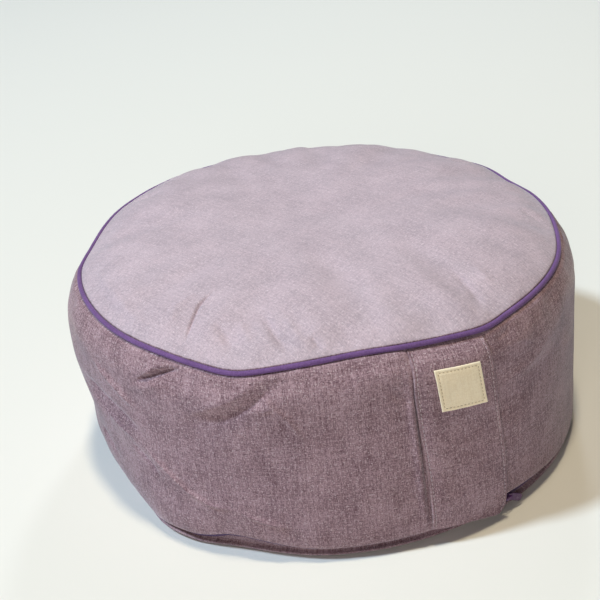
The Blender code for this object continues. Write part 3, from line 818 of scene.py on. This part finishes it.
def build_strap():
    """The strap of folded cloth, its edges round, with the hems' stitched channels."""
    near = [0, 0.12, 0.35, 0.7, 1.1, 1.6, 2.0, 2.35, 2.7, 3.2, 4.0]
    middle = 34
    corner = STRAP_CORNER_RADIUS / STRAP_LENGTH
    downs = [d * MM / STRAP_LENGTH for d in near[:-1]]
    start = downs[-1]
    rows_between = 78
    for i in range(1, rows_between + 1):
        downs.append(start + (1 - corner - start) * i / rows_between)
    for i in range(1, 17):
        downs.append(1 - corner * (1 - math.sin(math.pi / 2 * i / 16)))
    rows, edges, shares_of = [], [], []
    for down in downs:
        width = strap_plan(0.5, down)[2] / MM
        side = [n / width for n in near]
        shares = side + [side[-1] + (1 - 2 * side[-1]) * i / middle for i in range(1, middle)]
        shares += [1 - s for s in side[::-1]]
        outer, inner, edge = [], [], []
        for share in shares:
            beside = min(share, 1 - share) * width * MM
            end = min(down, 1 - down) * STRAP_LENGTH
            full = min(rounded(beside, 0.9 * MM), rounded(end, 0.9 * MM))
            channel = 0.34 * MM * math.exp(-(((beside - STITCH_INSET) / (0.75 * MM)) ** 2))
            hem = 0.16 * MM * float(ease((STITCH_INSET - beside) / (1 * MM)))
            out = STRAP_THICKNESS * (0.5 + 0.5 * full) + (hem - channel) * full
            outer.append(strap_at(share, down, out))
            inner.append(strap_at(share, down, STRAP_THICKNESS * (0.5 - 0.5 * full)))
            edge.append(max(1 - beside / (1.4 * MM), 1 - end / (1.4 * MM), 0))
        rows.append(outer + inner[::-1])
        edges.append(edge + edge[::-1])
        shares_of.append([s * width * MM for s in shares + shares[::-1]])

    def cloth(i, j):
        return 0.4 + shares_of[i][j % len(shares_of[i])], 0.2 - downs[i] * STRAP_LENGTH

    def edge_of(i, j):
        return edges[i][j % len(edges[i])]

    return loft("carrying_strap", rows, cloth, edge_of)


strap = build_strap()


def stitch_row(bm, path, length, gap, thick, sunk):
    """A row of stitches along a path of (point, outward) pairs, in a bmesh. The ends of each
    stitch are sunk in the cloth."""
    sides, rings = 6, 7
    points = [p for p, _ in path]
    outs = [o for _, o in path]
    along = np.concatenate(([0.0], np.cumsum([(b - a).length for a, b in zip(points, points[1:])])))
    table = np.array([[*p, *o] for p, o in zip(points, outs)])

    def at(distance):
        row = [float(np.interp(distance, along, table[:, c])) for c in range(6)]
        return Vector(row[:3]), Vector(row[3:]).normalized()

    count = int(along[-1] // (length + gap))
    pitch = along[-1] / count
    for number in range(count):
        jitter = noise.noise(Vector((number * 1.7, along[-1] * 40, 0.5)))
        begin = number * pitch + gap / 2 + 0.12 * jitter * gap
        end = begin + pitch - gap
        loops = []
        for ring in range(rings):
            share = ring / (rings - 1)
            point, out = at(begin + (end - begin) * share)
            ahead, _ = at(begin + (end - begin) * share + 0.1 * MM)
            run = (ahead - point).normalized()
            across = out.cross(run).normalized()
            rise = math.sin(math.pi * share) ** 0.5
            size = thick * (0.55 + 0.45 * rise)
            middle = point + out * (thick * 0.7 * rise - sunk * (1 - rise))
            loop = []
            for side in range(sides):
                around = 2 * math.pi * side / sides
                offset = across * math.cos(around) + out * math.sin(around)
                loop.append(bm.verts.new(middle + offset * size))
            loops.append(loop)

        def cloth(i, j):
            along_thread = number * pitch + (end - begin) * i / (rings - 1)
            return along_thread, 2 * math.pi * thick * j / sides

        skin(bm, loops, cloth)


def sewn_path(place, params):
    """A path of (point, outward) pairs over a surface: place takes a parameter pair and how far
    outward, and gives a point."""
    path = []
    for pair in params:
        point = place(*pair, 0.0)
        path.append((point, (place(*pair, 1 * MM) - point).normalized()))
    return path


def build_strap_stitches():
    """Topstitching inside both side edges of the strap."""
    bm = bmesh.new()
    bm.loops.layers.uv.new("cloth")
    face_of = STRAP_THICKNESS - 0.20 * MM
    for right in (False, True):
        params = []
        for i in range(161):
            down = 0.012 + 0.972 * i / 160
            inset = STITCH_INSET / strap_plan(0.5, down)[2]
            params.append((1 - inset if right else inset, down))
        path = sewn_path(lambda s, d, out: strap_at(s, d, face_of + out), params)
        stitch_row(bm, path, 2.3 * MM, 0.9 * MM, 0.29 * MM, 0.4 * MM)
    return add_mesh("strap_stitches", bm)


strap_stitches = build_strap_stitches()


def label_at(across, up, outward):
    """A point of the label: across and up from its middle, and outward from its inner face."""
    x = LABEL_SHIFT + across - up * LABEL_LEAN
    z = LABEL_HEIGHT + up - across * LABEL_DROP
    low, high = 0.0, 0.9
    for _ in range(18):
        down = (low + high) / 2
        if strap_plan(0.5, down)[1] > z:
            low = down
        else:
            high = down
    width = strap_plan(0.5, down)[2]
    shift = STRAP_TOP_SHIFT + (STRAP_LOW_SHIFT - STRAP_TOP_SHIFT) * float(ease(down))
    share = (x - shift) / width + 0.5
    return strap_at(share, down, STRAP_THICKNESS + 0.3 * MM + outward)


def build_label():
    """The square of cream cloth: its top and low edges turned under, its corners a little up."""
    near = [0, 0.1, 0.25, 0.5, 0.9, 1.4, 1.9, 2.3, 2.8, 3.6, 4.6]

    def places(size):
        size /= MM
        between = 16
        inner = [near[-1] + (size - 2 * near[-1]) * i / between for i in range(1, between)]
        return [(n - size / 2) * MM for n in near + inner + [size - n for n in near[::-1]]]

    columns, lines = places(LABEL_WIDTH), places(LABEL_DEPTH)
    rows, edges = [], []
    for up in lines:
        outer, inner, edge = [], [], []
        for across in columns:
            beside = LABEL_WIDTH / 2 - abs(across)
            end = LABEL_DEPTH / 2 - abs(up)
            full = min(rounded(beside, 0.35 * MM), rounded(end, 0.45 * MM))
            corner = float(ease((4 * MM - beside) / (4 * MM)) * ease((4 * MM - end) / (4 * MM)))
            inset = min(beside, end) - LABEL_STITCH_INSET
            channel = 0.30 * MM * math.exp(-((inset / (0.6 * MM)) ** 2))
            fold = 0.14 * MM * float(ease((4.2 * MM - end) / (0.8 * MM)))
            ripple = 0.14 * MM * noise.noise(Vector((across, up, 0)) / (5 * MM) + Vector((7, 3, 1)))
            lift = (0.30 * MM * corner + ripple - channel + fold) * full
            # The sides are cut a little uneven.
            drift = 0.25 * MM * noise.noise(Vector((across, up, 9)) / (9 * MM))
            place = (across + drift * (1 - full), up - drift * (1 - full))
            outer.append(label_at(*place, LABEL_THICKNESS * (0.5 + 0.5 * full) + lift))
            inner.append(label_at(*place, LABEL_THICKNESS * (0.5 - 0.5 * full) + 0.2 * MM * corner))
            edge.append(max(1 - min(beside, end) / (1.2 * MM), 0))
        rows.append(outer + inner[::-1])
        edges.append(edge + edge[::-1])
    spans = columns + columns[::-1]

    def cloth(i, j):
        return spans[j % len(spans)], lines[i]

    def edge_of(i, j):
        return edges[i][j % len(spans)]

    return loft("cloth_label", rows, cloth, edge_of)


label = build_label()


def build_label_stitches():
    """The running stitch all round the label."""
    bm = bmesh.new()
    bm.loops.layers.uv.new("cloth")
    half_w, half_d = LABEL_WIDTH / 2 - LABEL_STITCH_INSET, LABEL_DEPTH / 2 - LABEL_STITCH_INSET
    corners = ((-half_w, -half_d), (half_w, -half_d), (half_w, half_d), (-half_w, half_d))
    for (ax, ay), (bx, by) in zip(corners, corners[1:] + corners[:1]):
        params = [(ax + (bx - ax) * i / 24, ay + (by - ay) * i / 24) for i in range(25)]
        path = sewn_path(lambda a, u, out: label_at(a, u, LABEL_THICKNESS - 0.16 * MM + out), params)
        stitch_row(bm, path, 1.5 * MM, 1.0 * MM, 0.21 * MM, 0.3 * MM)
    return add_mesh("label_stitches", bm)


label_stitches = build_label_stitches()

zip_turns, zip_rows = read_ring(cad_zip, 4)


def zip_place(turn):
    """The zip at a turn: its inner and outer radius, low and high edge."""
    return [float(np.interp(turn, zip_turns, zip_rows[:, c])) for c in range(4)]


def build_zip_tapes():
    """The zip's two tapes, one over the other, with a slot between them behind the coil."""
    turns = np.linspace(ZIP_START_TURN, ZIP_END_TURN, 691).tolist()
    bm = bmesh.new()
    bm.loops.layers.uv.new("cloth")
    bm.loops.layers.uv.new("edge")
    for upper in (True, False):
        loops = []
        for turn in turns:
            inner, coil, low, high = zip_place(turn)
            middle = (low + high) / 2
            face = coil - 0.75 * MM
            ripple = 0.08 * MM * noise.noise(Vector((turn * 1.3, 1.0 if upper else 5.0, 0)))
            if upper:
                near, far = middle + 0.15 * MM, high - 0.45 * MM
            else:
                near, far = middle - 0.15 * MM, low + 0.45 * MM
            outline = ((inner + 0.25 * MM, near), (face + ripple, near))
            outline += ((face + ripple + 0.05 * MM, (near + far) / 2), (face - 0.05 * MM, far))
            outline += ((inner + 0.25 * MM, far),)
            loops.append([bm.verts.new((*polar(turn, r), z)) for r, z in outline])

        def cloth(i, j):
            return math.radians(turns[i]) * ZIP_ROUND, loops[i][j % len(loops[i])].co.z

        skin(bm, loops, cloth)
    return add_mesh("zip_tapes", bm)


def build_zip_coil():
    """The closed coil: one tooth after another, each standing a little up or down."""
    length = math.radians(ZIP_END_TURN - ZIP_START_TURN) * COIL_ROUND
    teeth = round(length / COIL_PITCH)
    steps, sides = teeth * 4, 8
    rows = []
    for k in range(steps + 1):
        turn = ZIP_START_TURN + (ZIP_END_TURN - ZIP_START_TURN) * k / steps
        _, coil, low, high = zip_place(turn)
        swell = (1.0, 0.86, 0.62, 0.86)[k % 4]
        side_step = 0.16 * MM * (1 if k // 4 % 2 else -1)
        row = []
        for side in range(sides):
            around = 2 * math.pi * side / sides
            r = coil - 0.34 * MM + 0.40 * MM * swell * math.cos(around)
            z = (low + high) / 2 + side_step * swell + 0.95 * MM * swell * math.sin(around)
            row.append((*polar(turn, r), z))
        rows.append(row)

    def cloth(i, j):
        return i * COIL_PITCH / 4, j * 0.5 * MM

    return loft("zip_coil", rows, cloth)


zip_tapes = build_zip_tapes()
zip_coil = build_zip_coil()


# Materials. Colours are linear.
def feed(tree, socket, value):
    """Links a socket to another, or sets its value."""
    if isinstance(value, bpy.types.NodeSocket):
        tree.links.new(value, socket)
    else:
        socket.default_value = value


def add(tree, kind, inputs=(), **settings):
    """A shader node with its settings, and its inputs linked or set."""
    node = tree.nodes.new("ShaderNode" + kind)
    for key, value in settings.items():
        setattr(node, key, value)
    for key, value in dict(inputs).items():
        feed(tree, node.inputs[key], value)
    return node


def calc(tree, operation, *values):
    """A Math node's result."""
    node = add(tree, "Math", operation=operation)
    for socket, value in zip(node.inputs, values):
        feed(tree, socket, value)
    return node.outputs[0]


def colour_mix(tree, share, a, b):
    """Colour a turning into colour b."""
    node = add(tree, "Mix", data_type="RGBA")
    for index, value in ((0, share), (6, a), (7, b)):
        feed(tree, node.inputs[index], value)
    return node.outputs[2]


def span(tree, value, low, high, to_low=0.0, to_high=1.0):
    """A value brought smoothly from one range to another."""
    inputs = {"Value": value, "From Min": low, "From Max": high, "To Min": to_low, "To Max": to_high}
    return add(tree, "MapRange", inputs, interpolation_type="SMOOTHSTEP").outputs["Result"]


def new_group(name, inputs, outputs):
    """An empty shader node group with named sockets. Returns it, its inputs and its output."""
    tree = bpy.data.node_groups.new(name, "ShaderNodeTree")
    for label_text, kind, value in inputs:
        socket = tree.interface.new_socket(label_text, in_out="INPUT", socket_type="NodeSocket" + kind)
        if value is not None:
            socket.default_value = value
    for label_text, kind in outputs:
        tree.interface.new_socket(label_text, in_out="OUTPUT", socket_type="NodeSocket" + kind)
    return tree, tree.nodes.new("NodeGroupInput").outputs, tree.nodes.new("NodeGroupOutput").inputs


def stretched_noise(tree, cloth, across, along, detail=1.0, shift=0.0):
    """Flat noise with so many spots to a metre across and along the cloth, from 0 to 1."""
    scale = add(tree, "CombineXYZ")
    feed(tree, scale.inputs[0], across)
    feed(tree, scale.inputs[1], along)
    place = add(tree, "VectorMath", operation="MULTIPLY_ADD")
    feed(tree, place.inputs[0], cloth)
    feed(tree, place.inputs[1], scale.outputs[0])
    place.inputs[2].default_value = (shift, 0.6 * shift, 0)
    inputs = {"Vector": place.outputs[0], "Scale": 1.0, "Detail": detail, "Roughness": 0.6}
    return add(tree, "TexNoise", inputs, noise_dimensions="2D").outputs[0]


def weave_group():
    """Plain-woven cloth of uneven yarns."""
    white = (1, 1, 1, 1)
    inputs = (
        ("Cloth", "Vector", None),
        ("Yarns", "Float", 1200.0),
        ("Run", "Float", 90.0),
        ("Slubs", "Float", 0.5),
        ("Flecks", "Float", 0.5),
        ("Deep", "Color", white),
        ("Pale", "Color", white),
        ("Fleck colour", "Color", white),
    )
    outputs = (("Color", "Color"), ("Height", "Float"), ("Roughness", "Float"))
    tree, give, take = new_group("plain weave", inputs, outputs)
    cloth, yarns, run = give["Cloth"], give["Yarns"], give["Run"]
    warp = stretched_noise(tree, cloth, yarns, run)
    weft = stretched_noise(tree, cloth, run, yarns, shift=31.0)
    grain_rate = calc(tree, "MULTIPLY", yarns, 0.7)
    grain = stretched_noise(tree, cloth, grain_rate, grain_rate)
    cloud_rate = calc(tree, "MULTIPLY", yarns, 0.022)
    cloud = stretched_noise(tree, cloth, cloud_rate, cloud_rate, detail=2.0, shift=12.0)
    thick = calc(tree, "MULTIPLY", yarns, 0.5)
    slow = calc(tree, "MULTIPLY", run, 0.8)
    slub_warp = span(tree, stretched_noise(tree, cloth, thick, slow, 0.0, 57.0), 0.74, 0.84)
    slub_weft = span(tree, stretched_noise(tree, cloth, slow, thick, 0.0, 83.0), 0.76, 0.86)
    slub = calc(tree, "MULTIPLY", calc(tree, "MAXIMUM", slub_warp, slub_weft), give["Slubs"])
    spot = stretched_noise(tree, cloth, calc(tree, "MULTIPLY", yarns, 0.42), thick, 0.0, 5.0)
    fleck = calc(tree, "MULTIPLY", span(tree, spot, 0.74, 0.84), give["Flecks"])
    # Over and under: the yarns cross in a fine check.
    split = add(tree, "SeparateXYZ")
    feed(tree, split.inputs[0], cloth)
    bend = calc(tree, "MULTIPLY", calc(tree, "SUBTRACT", cloud, 0.5), 9.0)
    turns = calc(tree, "MULTIPLY", yarns, 3.2)
    wave_u = calc(tree, "SINE", calc(tree, "MULTIPLY_ADD", split.outputs[0], turns, bend))
    wave_v = calc(tree, "SINE", calc(tree, "MULTIPLY_ADD", split.outputs[1], turns, bend))
    check = calc(tree, "MULTIPLY", wave_u, wave_v)
    tone = calc(tree, "MULTIPLY_ADD", warp, 0.38, calc(tree, "MULTIPLY", weft, 0.28))
    tone = calc(tree, "MULTIPLY_ADD", grain, 0.34, tone)
    tone = calc(tree, "MULTIPLY_ADD", calc(tree, "SUBTRACT", cloud, 0.5), 0.22, tone)
    tone = calc(tree, "MULTIPLY_ADD", check, 0.03, tone)
    # Thicker yarns show as long faint streaks both ways.
    wide, far = calc(tree, "MULTIPLY", yarns, 0.38), calc(tree, "MULTIPLY", run, 0.13)
    streaks = stretched_noise(tree, cloth, wide, far, 1.0, 71.0)
    crossing = stretched_noise(tree, cloth, far, wide, 1.0, 97.0)
    tone = calc(tree, "MULTIPLY_ADD", calc(tree, "SUBTRACT", streaks, 0.5), 0.21, tone)
    tone = calc(tree, "MULTIPLY_ADD", calc(tree, "SUBTRACT", crossing, 0.5), 0.15, tone)
    base = colour_mix(tree, span(tree, tone, 0.29, 0.71), give["Deep"], give["Pale"])
    spotted = calc(tree, "MAXIMUM", slub, fleck)
    feed(tree, take["Color"], colour_mix(tree, spotted, base, give["Fleck colour"]))
    height = calc(tree, "MULTIPLY_ADD", check, 0.16, calc(tree, "MULTIPLY", warp, 0.5))
    height = calc(tree, "MULTIPLY_ADD", weft, 0.35, height)
    height = calc(tree, "MULTIPLY_ADD", slub, 0.35, height)
    feed(tree, take["Height"], height)
    feed(tree, take["Roughness"], span(tree, grain, 0.3, 0.7, 0.80, 0.97))
    return tree


def wear_and_highlight_group():
    """Cloth painted paler along its folded edges, unevenly: partly wear, partly a painted highlight where
    the folds catch the light.
    """
    inputs = (
        ("Color", "Color", None),
        ("Edge", "Float", 0.0),
        ("Cloth", "Vector", None),
        ("Rub", "Float", 0.5),
        ("Rubbed colour", "Color", None),
    )
    tree, give, take = new_group("rubbed edges", inputs, (("Color", "Color"), ("Mask", "Float")))
    patches = stretched_noise(tree, give["Cloth"], 160.0, 160.0, 2.0, 4.0)
    mask = calc(tree, "MULTIPLY", give["Edge"], span(tree, patches, 0.25, 0.75, 0.35, 1.0))
    mask = calc(tree, "MULTIPLY", mask, give["Rub"])
    feed(tree, take["Color"], colour_mix(tree, mask, give["Color"], give["Rubbed colour"]))
    feed(tree, take["Mask"], mask)
    return tree


def twist_group():
    """Plied thread: ridges that run slantwise round it."""
    inputs = (
        ("Cloth", "Vector", None),
        ("Plies", "Float", 3000.0),
        ("Deep", "Color", None),
        ("Pale", "Color", None),
    )
    outputs = (("Color", "Color"), ("Height", "Float"))
    tree, give, take = new_group("plied thread", inputs, outputs)
    split = add(tree, "SeparateXYZ")
    feed(tree, split.inputs[0], give["Cloth"])
    slant = calc(tree, "ADD", split.outputs[0], calc(tree, "MULTIPLY", split.outputs[1], 0.8))
    rate = calc(tree, "MULTIPLY", give["Plies"], math.tau)
    ridge = calc(tree, "SINE", calc(tree, "MULTIPLY", slant, rate))
    fuzz = stretched_noise(tree, give["Cloth"], 2600.0, 2600.0)
    tone = calc(tree, "MULTIPLY_ADD", ridge, 0.3, fuzz)
    feed(tree, take["Color"], colour_mix(tree, span(tree, tone, 0.1, 0.9), give["Deep"], give["Pale"]))
    feed(tree, take["Height"], tone)
    return tree


# The rubbed edges group paints folded edges paler: partly wear, partly a painted highlight.
weave, rubbed, twist = weave_group(), wear_and_highlight_group(), twist_group()


def new_material(name):
    """A material, its tree and its shader."""
    made = bpy.data.materials.new(name)
    made.use_nodes = True
    return made, made.node_tree, made.node_tree.nodes["Principled BSDF"]


def cloth_map(tree, name="cloth"):
    """A piece's own UV map."""
    return add(tree, "UVMap", uv_map=name).outputs[0]


def place_group(tree, group, inputs):
    """A node group in a material, with its values."""
    node = add(tree, "Group", node_tree=group)
    for key, value in inputs.items():
        feed(tree, node.inputs[key], value)
    return node.outputs


def bump(tree, shader, height, distance, strength):
    """Relief from a height."""
    inputs = {"Height": height, "Distance": distance, "Strength": strength}
    feed(tree, shader.inputs["Normal"], add(tree, "Bump", inputs).outputs[0])


def cloth_material(name, yarns, run, slubs, flecks, colours, sheen, relief, edge_wear_and_highlight=0.4, painted_top_light=None):
    """A woven cloth. colours are its deep, pale, fleck and rubbed ones, the rubbed one standing partly
    for wear and partly for a painted highlight on folded edges; sheen is its weight, roughness and
    tint; relief is the bump's distance and strength; the last argument is how far, and towards what
    colour, the top panel is painted paler, a painted light for the light that falls on the top."""
    made, tree, shader = new_material(name)
    cloth = cloth_map(tree)
    deep, pale, fleck, worn_and_lit_colour = ((*c, 1) for c in colours)
    values = {"Cloth": cloth, "Yarns": yarns, "Run": run, "Slubs": slubs, "Flecks": flecks}
    values.update({"Deep": deep, "Pale": pale, "Fleck colour": fleck})
    woven = place_group(tree, weave, values)
    edge_map = add(tree, "SeparateXYZ", {"Vector": cloth_map(tree, "edge")}).outputs
    values = {"Color": woven["Color"], "Edge": edge_map[0], "Cloth": cloth, "Rub": edge_wear_and_highlight}
    values["Rubbed colour"] = worn_and_lit_colour
    # Folded edges are painted paler: partly wear, partly a painted highlight on the folds.
    worn_and_lit = place_group(tree, rubbed, values)
    colour = worn_and_lit["Color"]
    # The top panel is painted paler here, in uneven patches: painted light for the brighter light that
    # falls on the top.
    if painted_top_light:
        patches = span(tree, stretched_noise(tree, cloth, 24.0, 9.0, 2.0), 0.3, 0.7, 0.92, 1.0)
        top_light_share = calc(tree, "MULTIPLY", calc(tree, "MULTIPLY", edge_map[1], patches), painted_top_light[0])
        colour = colour_mix(tree, top_light_share, colour, (*painted_top_light[1], 1))
    feed(tree, shader.inputs["Base Color"], colour)
    feed(tree, shader.inputs["Roughness"], woven["Roughness"])
    shader.inputs["Specular IOR Level"].default_value = 0.25
    shader.inputs["Sheen Weight"].default_value = sheen[0]
    shader.inputs["Sheen Roughness"].default_value = sheen[1]
    shader.inputs["Sheen Tint"].default_value = (*sheen[2], 1)
    bump(tree, shader, woven["Height"], *relief)
    return made


def thread_material(name, plies, deep, pale):
    """Sewing thread."""
    made, tree, shader = new_material(name)
    values = {"Cloth": cloth_map(tree), "Plies": plies, "Deep": (*deep, 1), "Pale": (*pale, 1)}
    plied = place_group(tree, twist, values)
    feed(tree, shader.inputs["Base Color"], plied["Color"])
    shader.inputs["Roughness"].default_value = 0.6
    shader.inputs["Sheen Weight"].default_value = 0.2
    bump(tree, shader, plied["Height"], 0.0001, 0.5)
    return made


def coil_material():
    """The zip's nylon coil, dyed violet, a little mottled."""
    made, tree, shader = new_material("zip coil nylon")
    cloth = cloth_map(tree)
    dye = stretched_noise(tree, cloth, 220.0, 900.0, 2.0)
    colours = ((0.040, 0.014, 0.075, 1), (0.085, 0.035, 0.150, 1))
    feed(tree, shader.inputs["Base Color"], colour_mix(tree, dye, *colours))
    feed(tree, shader.inputs["Roughness"], span(tree, dye, 0.3, 0.7, 0.34, 0.5))
    bump(tree, shader, stretched_noise(tree, cloth, 2400.0, 2400.0), 0.00005, 0.4)
    return made


def enamel_material():
    """Violet enamel on cast metal, thin and rubbed on its raised edges."""
    made, tree, shader = new_material("zip enamel")
    place = add(tree, "TexCoord").outputs["Object"]
    pool = add(tree, "TexNoise", {"Vector": place, "Scale": 420.0, "Detail": 3.0}).outputs[0]
    fine = add(tree, "TexNoise", {"Vector": place, "Scale": 1500.0, "Detail": 2.0}).outputs[0]
    edge = add(tree, "NewGeometry").outputs["Pointiness"]
    bare = calc(tree, "MULTIPLY", span(tree, edge, 0.57, 0.66), span(tree, fine, 0.5, 0.66))
    coat = colour_mix(tree, pool, (0.060, 0.020, 0.095, 1), (0.115, 0.045, 0.170, 1))
    feed(tree, shader.inputs["Base Color"], colour_mix(tree, bare, coat, (0.34, 0.28, 0.36, 1)))
    feed(tree, shader.inputs["Metallic"], bare)
    feed(tree, shader.inputs["Roughness"], span(tree, pool, 0.3, 0.7, 0.36, 0.50))
    shader.inputs["Coat Weight"].default_value = 0.12
    shader.inputs["Coat Roughness"].default_value = 0.25
    bump(tree, shader, fine, 0.00006, 0.35)
    return made


# The linen's fourth colour is its edges' paler one, partly wear and partly a painted highlight; below, its
# top panel is painted paler for the light that falls on the top.
LINEN_COLOURS = ((0.130, 0.068, 0.088), (0.425, 0.290, 0.336), (0.70, 0.57, 0.62), (0.46, 0.36, 0.40))
linen = cloth_material(
    "chambray linen",
    yarns=1850.0,
    run=330.0,
    slubs=0.30,
    flecks=0.55,
    colours=LINEN_COLOURS,
    sheen=(0.35, 0.35, (0.86, 0.90, 1.0)),
    relief=(0.00035, 0.5),
    edge_wear_and_highlight=0.25,
    painted_top_light=(0.36, (0.80, 0.735, 0.845)),
)
violet = cloth_material(
    "violet bias cotton",
    yarns=2400.0,
    run=500.0,
    slubs=0.1,
    flecks=0.06,
    colours=((0.105, 0.049, 0.158), (0.190, 0.098, 0.272), (0.30, 0.19, 0.40), (0.24, 0.14, 0.33)),
    sheen=(0.25, 0.4, (0.85, 0.75, 1.0)),
    relief=(0.00018, 0.5),
)
tape = cloth_material(
    "zip tape twill",
    yarns=2200.0,
    run=700.0,
    slubs=0.0,
    flecks=0.0,
    colours=((0.034, 0.012, 0.056), (0.075, 0.030, 0.118), (0.11, 0.05, 0.16), (0.11, 0.05, 0.16)),
    sheen=(0.15, 0.4, (0.85, 0.75, 1.0)),
    relief=(0.0002, 0.5),
)
# The label's edges are painted paler, partly wear and partly a painted highlight.
cream = cloth_material(
    "cream label cotton",
    yarns=1900.0,
    run=260.0,
    slubs=0.15,
    flecks=0.12,
    colours=((0.87, 0.73, 0.53), (0.98, 0.86, 0.66), (0.98, 0.92, 0.80), (0.97, 0.89, 0.74)),
    sheen=(0.1, 0.5, (1.0, 0.97, 0.9)),
    relief=(0.0002, 0.5),
    edge_wear_and_highlight=0.5,
)
strap_thread = thread_material("strap thread", 900.0, (0.36, 0.27, 0.31), (0.62, 0.52, 0.56))
label_thread = thread_material("label thread", 1200.0, (0.30, 0.21, 0.12), (0.55, 0.42, 0.26))
coil_nylon, enamel = coil_material(), enamel_material()


def dress(piece, finish, slot_name, *nodes):
    """Gives a piece its material and its body, and hides the nodes it stands for; its slot name is not
    used.
    """
    piece.data.materials.clear()
    piece.data.materials.append(finish)
    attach(piece, "root")
    if nodes:
        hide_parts(*nodes)


dress(cover, linen, "linen", "cushion")
dress(piping, violet, "piping_cloth", "piping")
dress(strap, linen, "linen", "strap")
dress(strap_stitches, strap_thread, "linen")
dress(label, cream, "label_cloth", "label")
dress(label_stitches, label_thread, "label_cloth")
dress(zip_tapes, tape, "zip_tape", "zip")
dress(zip_coil, coil_nylon, "zip_tape")
for node in ("zip_slider", "zip_pull"):
    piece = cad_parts[node]
    for k in range(len(piece.material_slots)):
        piece.material_slots[k].material = enamel
    bevel = piece.modifiers.new("soft edges", "BEVEL")
    bevel.width = 0.22 * MM
    bevel.segments = 3
    bevel.limit_method = "ANGLE"


def make_camera():
    """The photograph's viewpoint."""
    azimuth, elevation = math.radians(CAMERA_AZIMUTH), math.radians(CAMERA_ELEVATION)
    roll = math.radians(CAMERA_ROLL)
    level = math.cos(elevation)
    back = Vector((math.sin(azimuth) * level, -math.cos(azimuth) * level, math.sin(elevation)))
    flat_right = Vector((math.cos(azimuth), math.sin(azimuth), 0))
    flat_up = back.cross(flat_right)
    right = flat_right * math.cos(roll) + flat_up * math.sin(roll)
    up = flat_up * math.cos(roll) - flat_right * math.sin(roll)
    data = bpy.data.cameras.new("camera")
    data.lens = CAMERA_LENS
    data.sensor_width = SENSOR_WIDTH
    camera = bpy.data.objects.new("camera", data)
    bpy.context.scene.collection.objects.link(camera)
    camera.matrix_world = Matrix.Translation(
        Vector(CAMERA_AIM) + back * CAMERA_DISTANCE
    ) @ Matrix((right, up, back)).transposed().to_4x4()
    bpy.context.scene.camera = camera


Lamp = namedtuple("Lamp", "name place size power colour")
LAMPS = (
    Lamp("overhead", (-0.12, -0.35, 4.0), 0.4, 78.0, (1.0, 0.865, 0.61)),
    Lamp("left_side", (-4.3, 0.92, 6.5), 0.84, 480.0, (0.70, 0.86, 1.0)),
    Lamp("front", (-1.5, -1.9, 1.2), 1.0, 16.0, (1.0, 0.93, 0.86)),
    Lamp("right_rear", (1.2, 1.6, 1.8), 0.3, 11.0, (0.84, 0.92, 1.0)),
)
LAMP_AIM = Vector((0, 0, 0.08))
WORLD_COLOUR = (0.9, 0.95, 1.0)
WORLD_STRENGTH = 0.03
PAPER_COLOUR = (0.76, 0.752, 0.725)
PAPER_HALF = 4


def make_stage():
    """Floor, lights and a pale surround."""
    scene = bpy.context.scene
    scene.view_settings.view_transform = "Standard"
    world = bpy.data.worlds.new("studio")
    world.use_nodes = True
    scene.world = world
    background = world.node_tree.nodes["Background"]
    background.inputs["Color"].default_value = (*WORLD_COLOUR, 1)
    background.inputs["Strength"].default_value = WORLD_STRENGTH
    bm = bmesh.new()
    bmesh.ops.create_grid(bm, x_segments=1, y_segments=1, size=PAPER_HALF)
    floor = add_mesh("floor", bm)
    paper, _, shader = new_material("paper")
    shader.inputs["Base Color"].default_value = (*PAPER_COLOUR, 1)
    shader.inputs["Roughness"].default_value = 0.8
    floor.data.materials.append(paper)
    for lamp in LAMPS:
        data = bpy.data.lights.new(lamp.name, "AREA")
        data.shape = "DISK"
        data.size = lamp.size
        data.energy = lamp.power
        data.color = lamp.colour
        light = bpy.data.objects.new(lamp.name, data)
        light.location = lamp.place
        light.rotation_euler = (LAMP_AIM - light.location).to_track_quat("-Z", "Y").to_euler()
        scene.collection.objects.link(light)


make_camera()
make_stage()
